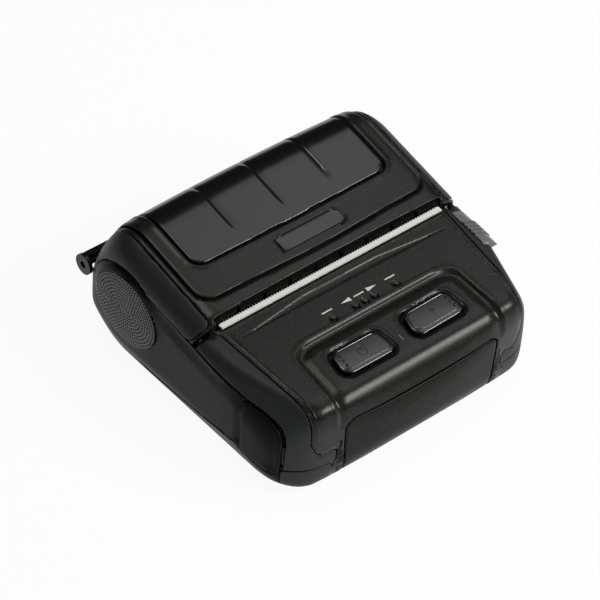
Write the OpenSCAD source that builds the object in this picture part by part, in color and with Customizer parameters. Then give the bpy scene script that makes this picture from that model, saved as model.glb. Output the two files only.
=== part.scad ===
/* [Case] */
// Width over the side pods
body_w = 146; // [144:1:160]
// Depth from the front face to the back of the hinge discs
body_d = 146; // [144:1:156]
// Height from the table to the top of the lid
body_h = 67; // [66:0.5:74]
// Wall of the hard shells
wall = 2.2; // [1.6:0.1:2.2]
// Thickness of the rubber skins and of the lid pad
skin = 1.6; // [1:0.1:1.6]
// Height of the underside above the table
foot_h = 1.4; // [1:0.1:1.6]
// Radius of the rubber feet
foot_r = 5; // [3.5:0.5:6]
// How far each grille pod stands out of the side
pod_rise = 1.2; // [1:0.1:2]

/* [Control panel] */
// Fall of the control panel towards the front, in degrees
panel_tilt = 6.2; // [5.6:0.2:6.6]
// Width of each button
button_w = 27; // [22:1:28]
// Depth of each button
button_d = 13.6; // [11:0.2:15]
// Distance of each button's centre from the middle
button_x = 19; // [18:0.5:20]
// Button travel
button_travel = 0.9; // [0.5:0.1:1]
// Radius of the indicator lights
light_r = 1.1; // [0.8:0.1:1.4]

/* [Print mechanism] */
// Radius of the platen's rubber sleeve
platen_r = 6.5; // [5.5:0.1:6.6]
// Distance from each end of the platen's sleeve to the chassis cheek
platen_inset = 9.5; // [9.5:0.1:13]
// Radius of the platen shaft
shaft_r = 2.5; // [2:0.1:2.8]
// Distance from each end of the tear bar to the edge of the panel
tear_inset = 2; // [2:0.1:5]
// Pitch of the tear bar's teeth
tear_pitch = 1.4; // [1:0.1:2.4]
// Radius of the stepper motor
motor_r = 10.5; // [8:0.5:10.5]
// Module of the drive gears
gear_module = 0.6; // [0.59:0.01:0.61]
// Teeth on the motor pinion
pinion_teeth = 12; // [12:1:13]
// Teeth on the idler's large wheel
idler_teeth = 30; // [28:1:30]
// Teeth on the idler's small wheel
idler_small_teeth = 14; // [14:1:15]
// Teeth on the transfer gear
transfer_teeth = 22; // [20:1:22]
// Teeth on the platen gear
platen_teeth = 24; // [22:1:24]

/* [Label bin] */
// Height of the case that the label bin leaves free
bin_room = 12; // [11:0.5:14]
// Distance of each wide open label guide from the end of the bin
guide_inset = 3.5; // [3:0.1:7]
// Travel of each label guide
guide_travel = 28; // [20:1:28]
// Teeth on the pinion that couples the guides
guide_teeth = 12; // [12:1:12]

/* [Lid] */
// Rise of the lid towards the back, in degrees
lid_tilt = 11.5; // [11:0.5:12]
// Distance from the side of the case to the lid pad
pad_inset = 10.8; // [10.3:0.1:13]
// Distance from the side of the lid pad to the window
window_inset = 9; // [8:0.5:14]
// Width of the badge plate
badge_w = 33; // [24:1:40]
// Depth of the badge plate
badge_d = 7; // [5:0.5:9]
// Radius of the hinge rod
rod_r = 1.6; // [1.2:0.1:1.8]
// Radius of the end discs on the rail
disc_r = 4.8; // [4.6:0.1:5.2]

/* [Battery] */
// Width of the battery pack
battery_w = 72; // [68:1:74]
// Width of the battery pack's face
face_w = 83.8; // [80:1:86]
// Radius of a cell
cell_r = 9.2; // [8:0.1:9.2]
// Length of a cell
cell_len = 65; // [60:1:66]

/* [Fits] */
// Gap between pieces that move past each other
gap = 0.3; // [0.2:0.05:0.35]
// Radial clearance of a running pin
run_fit = 0.05; // [0.02:0.01:0.08]

/* [Hidden] */
$fn = 48;
SHELL = "#2e2e2d";
LOWER = "#2e2c28";
RUBBER = "#2c3031";
STEEL = "#b9bcc0";
BOARD = "#1f5a37";
BRASS = "#c8a24a";
GEAR = "#d9d6cc";

// Main planes of the case
half_w = body_w / 2 - pod_rise;
front_y = -body_d / 2;
hinge_y = body_d / 2 - disc_r;
hinge_z = 30.2;
rear_y = hinge_y - 2.2;
floor_z = foot_h + wall;
reveal = 0.15;
panel_half = half_w - 10.3;
panel_taper = 4.2;
exit_y = -9.2;

// Control panel, whose plane passes through [panel_y, panel_z]
panel_y = -12;
panel_z = 50.3;
button_y = -40;
button_top = 0.5;
light_y = -19.6;
light_pitch = [-17, -5, 0, 5, 17];
key_board_w = [-6.6, -5];
dome_w = -4.1;

// Print mechanism, seen from the side as [y, z]
platen_at = [-1.5, 42];
latch_at = [-6, 17];
head_at = [-13, 30];
lever_at = [-33.6, 44.9];
lever_r = 2.8;
mesh_gap = 0.05;
transfer_at = platen_at + polar(-108.2, gear_module * (platen_teeth + transfer_teeth) / 2 + mesh_gap);
idler_at = transfer_at + polar(168.8, gear_module * (transfer_teeth + idler_small_teeth) / 2 + mesh_gap);
motor_at = idler_at + polar(180, gear_module * (idler_teeth + pinion_teeth) / 2 + mesh_gap);
transfer_phase = 8;
idler_wheel_phase = 3;
idler_phase = meshed(transfer_phase, transfer_teeth, idler_small_teeth, 168.8);
head_face = platen_at[0] - platen_r - 0.15;
bracket_y = -16;

// Places across the width
cheek_x = half_w - 8.3;
cheek_t = 2;
platen_len = 2 * (cheek_x - platen_inset);
bracket_half = platen_len / 2 + 1.8;
tear_len = 2 * (panel_half - tear_inset);
hook_x = half_w - 5.9;
hook_t = 1.8;
gear_t = 2;
wheel_x = cheek_x - 0.5 - gear_t;
step_x = wheel_x - 0.4 - gear_t;
plate_x = step_x - 1.6;
ear_x = platen_len / 2 + 0.5;
ear_t = 2;

// Label bin
bin_t = 1.6;
bin_r = (body_h - bin_room) / 2;
bin_at = [31, floor_z + 0.8 + bin_t + bin_r];
bin_x = cheek_x - 6;
guide_x = bin_x - guide_inset;
disc_gap = 2.5;
guide_t = 2;
rack_at = [6, 9.6];
rack_t = 4;
rack_pitch_r = gear_module * guide_teeth / 2;
slot_from = -149;
slot_to = -127;

// Lid
pad_w = 2 * (half_w - pad_inset);
window_w = pad_w - 2 * window_inset;
window_y = 13.5;
badge_at = [0.8, 4.9];
knuckle_r = 3.6;
base_knuckle_r = 2.9;
// Across the hinge: the lid's outer knuckles, the base knuckles between them, then the springs
knuckle_x = half_w - 27.8;
LID_KNUCKLES = [[-knuckle_x - 12, -knuckle_x], [-14, 14], [knuckle_x, knuckle_x + 12]];
BASE_KNUCKLES = [[0.4 - knuckle_x, 14 - knuckle_x], [knuckle_x - 14, knuckle_x - 0.4]];
SPRING_SPANS = [[14.4 - knuckle_x, -14.4], [14.4, knuckle_x - 14.4]];
rail_low = 3.4;

// Battery bay
battery_z = [floor_z + 0.6, 24];
battery_y = [-70.4, -29.2];
battery_wall = 0.6;
face_top = 33.2;
face_t = 2.4;
bay_gap = 1;
bay_t = 1.5;
post_at = [battery_w / 2 + 4.3, -50.5];
board_z = 27;
socket_z = board_z - 0.2;
motor_end = -battery_w / 2 - bay_gap - bay_t - 2;

// Fasteners
screw_r = 1.3;
SCREWS = [[half_w - 9.3, -39.6], [half_w - 20.8, -63.6]];
FEET = [[half_w - 19.8, -48], [half_w - 17.8, 42]];

// Outlines of the case: seen from above, from the side, from the front, and across the panel
PLAN = [[half_w + 1, rear_y], [-half_w - 1, rear_y], [-half_w - 1, -20], [3.2 - half_w, front_y + 6.5],
    [0, front_y - 1.2], [half_w - 3.2, front_y + 6.5], [half_w + 1, -20]];
PLAN_R = [17, 17, 0, 21, 200, 21, 0];
CASE_SIDE = [[rear_y + 1, panel_at(rear_y + 1)], [front_y + 7, panel_at(front_y + 7)], [front_y - 0.4, 28],
    [front_y - 0.4, 12], [front_y + 6.5, foot_h], [rear_y - 12, foot_h], [rear_y + 1, 20]];
CASE_SIDE_R = [0, 13, 24, 12, 8, 10, 14];
TUCK = [[half_w, 95], [-half_w, 95], [-half_w, 40], [1.2 - half_w, 11], [5.4 - half_w, foot_h - 1],
    [half_w - 5.4, foot_h - 1], [half_w - 1.2, 11], [half_w, 40]];
TUCK_R = [0, 0, 60, 9, 0, 0, 9, 60];
PANEL_CROSS = [[half_w + 1, 0], [-half_w - 1, 0], [-half_w - 1, -95], [half_w + 1, -95]];
PANEL_CROSS_R = [11, 11, 0, 0];
// Profiles of the front corners: one along a line at 45 degrees through them, one nearer the side
corner_u = (half_w - front_y) * 0.5834;
CORNER = [[-130, -9], [corner_u - 7, -9], [corner_u + 7.9, 7.5], [corner_u + 7.9, 13],
    [corner_u + 1.9, 46], [-130, 90]];
CORNER_R = [0, 0, 6, 20, 18, 0];
flank_turn = 70;
flank_u = half_w * 0.9397 - front_y * 0.342 - 5.4;
FLANK = [[-160, -9], [flank_u - 15.8, -9], [flank_u, 9.7], [flank_u, 21.2],
    [flank_u - 36.9, 92], [-160, 92]];
FLANK_R = [0, 0, 6, 25, 0, 0];
// Profile of the lower rear corners, seen from behind and mostly from the side
haunch_turn = 106;
haunch_u = half_w * 0.9613 + rear_y * 0.2756 - 3.9;
HAUNCH = [[-160, -9], [haunch_u - 10.7, -9], [haunch_u, 17.7], [haunch_u, 95], [-160, 95]];
HAUNCH_R = [0, 0, 14, 0, 0];

// Outlines of the lid: from the side, and across its slightly crowned top
lid_back = [48.5, body_h + 1.7];
lid_fall = 53.7;
lip_z = 52.4;
hook_top = platen_at[1] + 4.6;
LID_SIDE = [lid_back, [-3, lid_at(-3)], [-10.6, lid_at(-3) - 7.1], [-10.6, 20], [rear_y + 0.3, 20],
    [rear_y + 0.3, 31], [rear_y - 4.5, 50.5]];
LID_SIDE_R = [16, 4, 0, 0, 0, 6, 20];
LID_CROSS = [[half_w + 1, -1.8], [0, 0.9], [-half_w - 1, -1.8], [-half_w - 1, -110], [half_w + 1, -110]];
LID_CROSS_R = [14, (half_w - 16.2) * (half_w + 1) / 2.7, 14, 0, 0];

// Grille pods, as ellipses seen from the side
POD_AT = [34.8, 33.6];
POD_R = [21.8, 19.4];
GRILLE_AT = [33.8, 33.2];
GRILLE_R = [19.4, 16.4];
grille_t = 0.9;

// Line where the upper shells meet the lower case, seen from the side
PARTING = concat([[front_y - 8, 25], [-60.5, 25], [-60.3, 28], [-59.3, 31], [-57, 33.8], [-52.3, 35.6],
        [-46.8, 37.2], [-40.8, 38.3], [-24.7, 42.2], [-8.4, 44.9]],
    [for (a = [127:-12:7]) POD_AT + [(POD_R[0] + 0.8) * cos(a), (POD_R[1] + 0.8) * sin(a)]],
    [[rear_y, 31], [rear_y + 8, 31]]);

function panel_at(y) = panel_z + (y - panel_y) * tan(panel_tilt);
function lid_at(y) = lid_back[1] - (lid_back[0] - y) * tan(lid_tilt);
function polar(angle, r) = r * [cos(angle), sin(angle)];
function unit(v) = v / norm(v);
function turn(v) = [-v[1], v[0]];
// Moves every side of an anticlockwise outline inwards by t
function inset(p, t) = [for (i = [0:len(p) - 1])
    let (a = p[(i + len(p) - 1) % len(p)], b = p[i], c = p[(i + 1) % len(p)],
         m = turn(unit(b - a)), n = turn(unit(c - b)))
    b + t * (m + n) / (1 + m * n)];
// Rounds each corner of a convex outline with its own radius
function rounded(p, radii, steps = 6) = [for (i = [0:len(p) - 1])
    let (a = p[(i + len(p) - 1) % len(p)], b = p[i], c = p[(i + 1) % len(p)],
         u = unit(a - b), v = unit(c - b), r = is_list(radii) ? radii[i] : radii,
         half = acos(u * v) / 2, mid = b + unit(u + v) * r / sin(half),
         from = b + u * r / tan(half) - mid, sweep = 180 - 2 * half)
    each r == 0 ? [b] : [for (k = [0:steps])
        let (w = k * sweep / steps)
        mid + [from[0] * cos(w) - from[1] * sin(w), from[0] * sin(w) + from[1] * cos(w)]]];
// A rounded outline moved inwards by t, its corners tightened by as much
function outline(p, radii, t) = rounded(inset(p, t), [for (r = radii) max(r - t, 0)]);
function ellipse(at, r, n = 40) = [for (i = [0:n - 1]) at + [r[0] * cos(i * 360 / n), r[1] * sin(i * 360 / n)]];

// Involute gears: tooth shape, and the turn that puts gear b in mesh with gear a
pressure = 25;
addendum = 0.9;
dedendum = 1.15;
backlash = 0.1;
function roll(base, r) = r <= base ? 0 : sqrt(pow(r / base, 2) - 1) * 180 / PI - acos(base / r);
function gear(n) = let (r = n * gear_module / 2, base = r * cos(pressure), tip = r + addendum * gear_module,
        root = r - dedendum * gear_module, low = max(base, root),
        half = 90 / n - backlash / 2 / r * 180 / PI + roll(base, r),
        radii = concat(root < base ? [root] : [], [for (k = [0:3]) low + (tip - low) * k / 3]))
    [for (i = [0:n - 1]) each concat(
        [for (k = [0:len(radii) - 1]) polar(i * 360 / n - half + roll(base, radii[k]), radii[k])],
        [for (k = [len(radii) - 1:-1:0]) polar(i * 360 / n + half - roll(base, radii[k]), radii[k])])];
function meshed(phase, n, m, angle) = angle + 180 + 180 / m - (phase - angle) * n / m;
// Straight rack teeth along x, pointing up from the line y = 0, between two tooth numbers
function rack(from, to) = let (p = PI * gear_module, half = p / 4 - backlash / 2,
        tip = addendum * gear_module, root = dedendum * gear_module, s = tan(pressure))
    [for (i = [from:to]) each [[(i + 0.5) * p - half - root * s, -root], [(i + 0.5) * p - half + tip * s, tip],
        [(i + 0.5) * p + half - tip * s, tip], [(i + 0.5) * p + half + root * s, -root]]];

module block(lo, hi) translate(lo) cube(hi - lo);
// Extrudes a side outline, drawn as [y, z], from x0 to x1
module across(x0, x1) translate([x0, 0, 0]) rotate([90, 0, 90]) linear_extrude(x1 - x0) children();
// Extrudes a front outline, drawn as [x, z], from y0 to y1
module deep(y0, y1) translate([0, y1, 0]) rotate([90, 0, 0]) linear_extrude(y1 - y0) children();
module bar(at, r, x0, x1) translate([x0, at[0], at[1]]) rotate([0, 90, 0]) cylinder(h = x1 - x0, r = r);
module pair() {
    children();
    mirror([1, 0, 0]) children();
}
// Panel frame: x across, y up the slope, z out of the panel
module on_panel() translate([0, panel_y, panel_z]) rotate([panel_tilt, 0, 0]) children();
module spring(r, wire, turns, length) {
    n = 14;
    s = 6;
    rings = [for (i = [0:turns * n]) [r * cos(i * 360 / n), r * sin(i * 360 / n),
        wire + (length - 2 * wire) * i / turns / n, i * 360 / n]];
    points = [for (q = rings) each [for (k = [0:s - 1])
        [q[0] + wire * cos(k * 360 / s) * cos(q[3]), q[1] + wire * cos(k * 360 / s) * sin(q[3]),
         q[2] + wire * sin(k * 360 / s)]]];
    last = (len(rings) - 1) * s;
    polyhedron(points, concat([[for (k = [0:s - 1]) k]], [[for (k = [s - 1:-1:0]) last + k]],
        [for (i = [0:len(rings) - 2]) each [for (k = [0:s - 1])
            [i * s + k, (i + 1) * s + k, (i + 1) * s + (k + 1) % s, i * s + (k + 1) % s]]]));
}

// Outer form of the case and of the lid, moved inwards by t
module case_form(t) intersection() {
    linear_extrude(95) polygon(outline(PLAN, PLAN_R, t));
    across(-95, 95) polygon(outline(CASE_SIDE, CASE_SIDE_R, t));
    deep(-95, 95) polygon(outline(TUCK, TUCK_R, t));
    on_panel() deep(-120, 120) polygon(outline(PANEL_CROSS, PANEL_CROSS_R, t));
    for (turn = [-45, 45]) rotate([0, 0, turn]) across_corner() polygon(outline(CORNER, CORNER_R, t));
    for (turn = [-flank_turn, flank_turn]) rotate([0, 0, turn]) across_corner()
        polygon(outline(FLANK, FLANK_R, t));
    for (turn = [-haunch_turn, haunch_turn]) rotate([0, 0, turn]) across_corner()
        polygon(outline(HAUNCH, HAUNCH_R, t));
}
// Extrudes a profile, drawn as [distance ahead, z], from side to side
module across_corner() rotate([90, 0, -90]) translate([0, 0, -150]) linear_extrude(300) children();
module lid_form(t) intersection() {
    linear_extrude(95) polygon(outline(PLAN, PLAN_R, t));
    across(-95, 95) polygon(outline(LID_SIDE, LID_SIDE_R, t));
    deep(-95, 95) polygon(outline(TUCK, TUCK_R, t));
    translate([0, lid_back[0], lid_back[1]]) rotate([lid_tilt, 0, 0])
        deep(-130, 90) polygon(outline(LID_CROSS, LID_CROSS_R, t));
    translate([0, lid_back[0], lid_back[1]]) rotate([-lid_fall, 0, 0])
        deep(-130, 90) polygon(outline(LID_CROSS, LID_CROSS_R, t));
}

// Regions that share the skin of the case out among the shells
module above_parting(d) across(-90, 90)
    polygon(concat([for (p = PARTING) p + [0, d]], [[rear_y + 8, 90], [front_y - 8, 90]]));
module below_parting(d) across(-90, 90)
    polygon(concat([for (p = PARTING) p - [0, d]], [[rear_y + 8, -9], [front_y - 8, -9]]));
module housing_front(d) intersection() {
    deep(-95, 0) polygon([[panel_half - d, 95], [d - panel_half, 95], [d - panel_half, 37],
        [17.8 + d - half_w, 20.6 + d], [half_w - 17.8 - d, 20.6 + d], [panel_half - d, 37]]);
    linear_extrude(95) polygon([[panel_half - d, 9], [d - panel_half, 9], [d - panel_half, panel_y],
        [panel_taper + d - panel_half, -60], [panel_taper + d - panel_half, -95],
        [panel_half - panel_taper - d, -95], [panel_half - panel_taper - d, -60], [panel_half - d, panel_y]]);
}
module ahead_of_split(d) across(-90, 90)
    polygon([[-7 - d, 20], [-7 - d, 44.5], [-11 - d, 51.5], [-12 - d, 60], [-95, 60], [-95, 20]]);
module behind_split(d) across(-90, 90)
    polygon([[-7 + d, 20], [-7 + d, 44.5], [-11 + d, 51.5], [-12 + d, 60], [-12 + d, 95], [95, 95], [95, 20]]);
corner_y = front_y + 12.5;
leg_x = face_w / 2 + 1.6;
module corner_zone(d) pair() block([leg_x + d, front_y - 9, 13.6 + d], [95, corner_y - d, 60]);
module bumper_zone(d, inward) difference() {
    union() {
        intersection() {
            above_parting(d);
            ahead_of_split(d);
        }
        corner_zone(d);
    }
    housing_front(inward);
}
module face_zone(d) deep(front_y - 9, corner_y + 0.8 + d) polygon([[face_w / 2 + d, face_top + d],
    [-face_w / 2 - d, face_top + d], [1.9 - face_w / 2 - d, -1], [face_w / 2 - 1.9 + d, -1]]);
module port_zone(d) across(-95, -55) polygon(outline([[-39, 11], [-39, 39.4], [-52.4, 36.4], [-56.8, 33.2],
    [-59.2, 30], [-60, 26], [-60, 11]], [2, 1.5, 4, 3, 3, 3, 3], -d));
module lever_zone(d) across(panel_half + 1.3 - d, half_w + 2) union() {
    translate(lever_at) circle(lever_r + d);
    polygon([lever_at + [0, -lever_r + 0.2 - d], [-15 + d, lever_at[1] - lever_r + 0.2 - d], [-15 + d, 54],
        lever_at + [0, lever_r + d]]);
    polygon([lever_at + [0, 0], lever_at + [18.6 + d, 0], lever_at + [18.6 + d, 9], lever_at + [1, 9]]);
}
module pad_zone(d) linear_extrude(95) polygon(rounded([[pad_w / 2 + d, 80], [-pad_w / 2 - d, 80],
    [-pad_w / 2 - d, -1.2 - d], [0, -3.8 - d], [pad_w / 2 + d, -1.2 - d]], [0, 0, 8 + d, 300, 8 + d]));
module window_zone(d) linear_extrude(95) polygon(rounded([[window_w / 2 + d, 85], [-window_w / 2 - d, 85],
    [-window_w / 2 - d, window_y + 0.8 - d], [0, window_y - 0.6 - d], [window_w / 2 + d, window_y + 0.8 - d]],
    [0, 0, 6 + d, 400, 6 + d]));
module strip_zone(d) pair() block([half_w - 8.2 + d, -95, 0], [95, 95, 95]);
module hinge_cuts(r, spans) for (s = spans) bar([hinge_y, hinge_z], r, s[0] - gap, s[1] + gap);
module button_plate(grow, low, high) translate([button_x, button_y, low]) linear_extrude(high - low)
    polygon(outline([[button_w / 2 - 1.2, button_d / 2 + 0.2], [-button_w / 2 + 1.2, button_d / 2 - 0.2],
        [-button_w / 2 - 0.9, -button_d / 2 - 0.2], [button_w / 2 + 0.9, -button_d / 2 + 0.3]],
        [3, 3, 3, 3], -grow));

module lower_case() color(LOWER) difference() {
    union() {
        intersection() {
            difference() {
                case_form(0);
                case_form(wall);
                corner_zone(-reveal);
                block([-leg_x, front_y - 9, 20.6], [leg_x, corner_y, 60]);
                face_zone(gap);
                difference() {
                    union() {
                        port_zone(gap);
                        across(-95, -55) polygon([[-50, 26], [-50, 42], [-61, 42], [-61, 26]]);
                    }
                    case_form(skin + 0.1);
                }
            }
            below_parting(reveal);
        }
        intersection() {
            difference() {
                case_form(skin + 0.1);
                case_form(skin + 1.6);
                corner_zone(-reveal);
            }
            port_zone(1.2);
            below_parting(reveal);
        }
        for (i = [1:3]) pair() across(half_w - 1.6, half_w + pod_rise * sin(30 * i))
            polygon(ellipse(POD_AT, POD_R * (1 - 0.04 * (1 - cos(30 * i)) * i / 3)));
        intersection() {
            union() {
                pair() block([battery_w / 2 + bay_gap, front_y + 4, floor_z - 0.5],
                    [battery_w / 2 + bay_gap + bay_t, battery_y[1] + 2.7, battery_z[1] + 1]);
                block([-battery_w / 2 - bay_gap - 0.5, battery_y[1] + 1.7, floor_z - 0.5],
                    [battery_w / 2 + bay_gap + 0.5, battery_y[1] + 1.7 + bay_t, battery_z[1] + 1]);
                pair() for (s = SCREWS) translate([s[0], s[1], foot_h + 0.6]) {
                    cylinder(h = 20, r = 2.8);
                    cylinder(h = 5, r = 4.2);
                }
                pair() translate([post_at[0], post_at[1], foot_h + 1]) cylinder(h = board_z - foot_h - 1, r = 1.9);
            }
            difference() {
                case_form(wall - 0.2);
                difference() {
                    union() {
                        corner_zone(-reveal);
                        face_zone(gap);
                    }
                    case_form(face_t + 1);
                }
            }
        }
        for (s = BASE_KNUCKLES) {
            bar([hinge_y, hinge_z], base_knuckle_r, s[0], s[1]);
            block([s[0], rear_y - 1, hinge_z - base_knuckle_r], [s[1], hinge_y, hinge_z]);
        }
    }
    hinge_cuts(knuckle_r + 0.4, LID_KNUCKLES);
    hinge_cuts(rod_r + 1.4, SPRING_SPANS);
    bar([hinge_y, hinge_z], rod_r + 0.01, -half_w, half_w);
    pair() for (s = SCREWS) translate([s[0], s[1], 0]) {
        cylinder(h = foot_h + 3, r = 3);
        cylinder(h = 30, r = screw_r + 0.1);
    }
    pair() across(half_w + pod_rise - grille_t - 0.1, 95) polygon(ellipse(GRILLE_AT, GRILLE_R + [reveal, reveal]));
    pair() across(half_w - 5, 95) polygon(ellipse(GRILLE_AT, GRILLE_R - [2, 2]));
    feet(0.02, foot_h + 0.6);
    pair() translate([post_at[0], post_at[1], 24]) cylinder(h = 9, r = 1.02);
    block([0.3 - half_w, -58, socket_z - 4.5], [11.8 - half_w, -42.8, socket_z + 4.5]);
    block([-7, -57, 0], [7, -48, 9]);
    // Clear way for the lid above the label bin
    block([-panel_half, exit_y, 45], [panel_half, rear_y - 8, body_h]);
    lever_zone(gap + 0.05);
}
module feet(grow, top) pair() for (p = FEET)
    translate([p[0], p[1], 0]) cylinder(h = top, r = foot_r + grow);
module front_housing() color(SHELL) difference() {
    union() {
        intersection() {
            difference() {
                case_form(0);
                case_form(wall);
                face_zone(gap);
            }
            housing_front(0);
            above_exit();
        }
        intersection() {
            difference() {
                case_form(skin);
                case_form(skin + 1.6);
            }
            bumper_zone(reveal, 1.2);
            block([-95, -95, 0], [95, panel_y, 60]);
        }
        block([-tear_len / 2 - 0.4, exit_y - 4, panel_z - 2.2], [tear_len / 2 + 0.4, exit_y - 0.7, panel_z + 0.4]);
        intersection() {
            union() {
                pair() for (s = SCREWS) translate([s[0], s[1], foot_h + 20.7]) cylinder(h = 40, r = 2.8);
                block([panel_half - 3.6, lever_at[0] - 2.6, lever_at[1] - 2.4],
                    [panel_half + 1, lever_at[0] + 2.6, lever_at[1] + 6]);
                on_panel() pair() for (y = [-46, -19]) translate([36, y, key_board_w[1]]) cylinder(h = 4, r = 2.2);
            }
            case_form(wall - 0.2);
        }
    }
    on_panel() pair() button_plate(0.25, -5, 5);
    on_panel() for (x = light_pitch) translate([x, light_y, -6]) cylinder(h = 9, r = light_r + 0.08);
    on_panel() translate([0, 0, -0.5]) linear_extrude(4)
        polygon([[38, -23.4], [-38, -23.4], [-43.6, -28], [-46, -70], [46, -70], [43.6, -28]]);
    on_panel() pair() for (y = [-46, -19]) translate([36, y, -9]) cylinder(h = 7.4, r = 0.9);
    pair() for (s = SCREWS) translate([s[0], s[1], 0]) cylinder(h = 29, r = screw_r + 0.02);
    lever_zone(gap + 0.05);
    lever_axle(0.02);
}
module above_exit() block([-95, -95, 0], [95, exit_y - 0.7, 60]);
module front_bumper(side) intersection() {
    difference() {
        case_form(0);
        case_form(skin);
        lever_zone(gap + 0.05);
        lever_axle(0.02);
    }
    bumper_zone(reveal, -reveal);
    block([side > 0 ? 0 : -95, -95, 0], [side > 0 ? 95 : 0, 0, 95]);
}
module left_front_bumper() color(RUBBER) front_bumper(-1);
module right_front_bumper() color(RUBBER) front_bumper(1);
module grille() across(half_w + pod_rise - grille_t - 0.1, half_w + pod_rise - 0.1) difference() {
    polygon(ellipse(GRILLE_AT, GRILLE_R));
    for (k = [0:5], i = [0:max(6 * k - 1, 0)]) let (a = i * 60 / max(k, 1))
        translate(GRILLE_AT + k / 6 * [GRILLE_R[0] * cos(a), GRILLE_R[1] * sin(a)]) circle(0.55, $fn = 24);
}
module left_grille() color(SHELL) mirror([1, 0, 0]) grille();
module right_grille() color(SHELL) grille();
module tear_bar() color(STEEL) translate([0, 0, panel_z + 0.4]) linear_extrude(0.8) polygon(concat(
    [[-tear_len / 2, exit_y - 0.6], [-tear_len / 2, exit_y - 3], [tear_len / 2, exit_y - 3], [tear_len / 2, exit_y - 0.6]],
    [for (i = [floor(tear_len / tear_pitch / 2):-1:-floor(tear_len / tear_pitch / 2) + 1])
        each [[(i - 0.25) * tear_pitch, exit_y - 0.6], [(i - 0.5) * tear_pitch, exit_y],
            [(i - 0.75) * tear_pitch, exit_y - 0.6]]]));
module rubber_feet() color("#3a3b3c") feet(0, foot_h + 0.6);
module case_screws() color(STEEL) pair() for (s = SCREWS) translate([s[0], s[1], foot_h + 1.2]) difference() {
    union() {
        cylinder(h = 1.8, r = 2.6);
        cylinder(h = 25, r = screw_r);
    }
    translate([0, 0, -1]) cylinder(h = 2, r = 1, $fn = 6);
}

module chassis() color("#8d9093") difference() {
    intersection() {
        union() {
            pair() across(cheek_x, cheek_x + cheek_t) polygon([[-20, floor_z], [3.2, floor_z], [3.2, 45.6],
                [platen_at[0] + shaft_r + 1.6, 45.6], platen_at + [shaft_r + 0.3, 0],
                platen_at - [shaft_r + 0.3, 0], [platen_at[0] - shaft_r - 0.6, 45.6], [-6.2, 45.6],
                [-8, 40], [-16, 34], [-16, 24], [-20, 18]]);
            block([-cheek_x - cheek_t, -20, floor_z], [cheek_x + cheek_t, -17, 18]);
            pair() block([cheek_x - 5, -20, floor_z], [cheek_x + 1, 3.2, floor_z + 1.4]);
        }
        case_form(wall + 0.1);
    }
    bar(platen_at, shaft_r + 0.3, -half_w, half_w);
    bar(latch_at, 2 + run_fit, -half_w, half_w);
}
module gear_plate() color(STEEL) difference() {
    across(-plate_x, -plate_x + 1) polygon([[-40, 20], [-20, 20], [-20, 18], [-17, 18], [-17, 20], [0, 22], [0, 34],
        [-9, 35], [-11, 41], [-40, 41]]);
    bar(idler_at, 1.5, -half_w, half_w);
    bar(transfer_at, 1.5, -half_w, half_w);
    bar(motor_at, 2.5, -half_w, half_w);
}
module gear_pins() color(STEEL) {
    bar(idler_at, 1.5, -wheel_x - gear_t - 0.3, -plate_x + 1);
    bar(transfer_at, 1.5, -step_x - gear_t - 0.3, -plate_x + 1);
    translate([0, rack_at[0] + rack_t / 2 + 0.4, rack_at[1]]) rotate([90, 0, 0]) cylinder(h = rack_t + 3, r = 1.2);
    block([-1.6, rack_at[0] - rack_t / 2 - 3.4, floor_z], [1.6, rack_at[0] - rack_t / 2 - 2, rack_at[1] + 1.6]);
}
module head_bracket() color(STEEL) difference() {
    union() {
        block([-bracket_half, bracket_y - 1, 12], [bracket_half, bracket_y, 47]);
        pair() block([bracket_half - 1.4, bracket_y - 1, head_at[1] - 4], [bracket_half, head_at[0] + 2, head_at[1] + 4]);
    }
    bar(head_at, 1.2 + run_fit, -half_w, half_w);
}
module stepper_motor() color("#9a9c9f") difference() {
    union() {
        bar(motor_at, motor_r, -plate_x + 1, motor_end);
        bar(motor_at, 2.4, -plate_x - 0.6, -plate_x + 1);
    }
    bar(motor_at, 1 + run_fit, -plate_x - 1, motor_end - 4.5);
}
module motor_pinion() color(BRASS) {
    translate([-wheel_x - gear_t, motor_at[0], motor_at[1]]) rotate([90, 0, 90]) linear_extrude(gear_t)
        rotate(meshed(idler_wheel_phase, idler_teeth, pinion_teeth, 180)) polygon(gear(pinion_teeth));
    bar(motor_at, 1, -wheel_x - 0.5, motor_end - 5.5);
}
module wheel(at, x, phase, n) translate([x, at[0], at[1]]) rotate([90, 0, 90]) linear_extrude(gear_t)
    rotate(phase) polygon(gear(n));
module idler_gear() color(GEAR) difference() {
    union() {
        wheel(idler_at, -wheel_x - gear_t, idler_wheel_phase, idler_teeth);
        wheel(idler_at, -step_x - gear_t, idler_phase, idler_small_teeth);
        bar(idler_at, 3, -wheel_x - 0.5, -step_x - gear_t + 0.5);
    }
    bar(idler_at, 1.5 + run_fit, -half_w, -plate_x);
}
module transfer_gear() color(GEAR) difference() {
    wheel(transfer_at, -step_x - gear_t, transfer_phase, transfer_teeth);
    bar(transfer_at, 1.5 + run_fit, -half_w, -plate_x);
}
module main_board() color(BOARD) {
    difference() {
        block([15.8 - half_w, -59, board_z], [post_at[0] + 5.7, -42.4, board_z + 1.6]);
        pair() translate([post_at[0], post_at[1], 20]) cylinder(h = 20, r = 1.2);
    }
    for (c = [[-31, -51, 12, 12], [-13, -50, 18, 9], [12, -52, 10, 10], [30, -50, 9, 7]])
        block([c[0] - c[2] / 2, c[1] - c[3] / 2, board_z + 1.6], [c[0] + c[2] / 2, c[1] + c[3] / 2, board_z + 3.2]);
}
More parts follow.
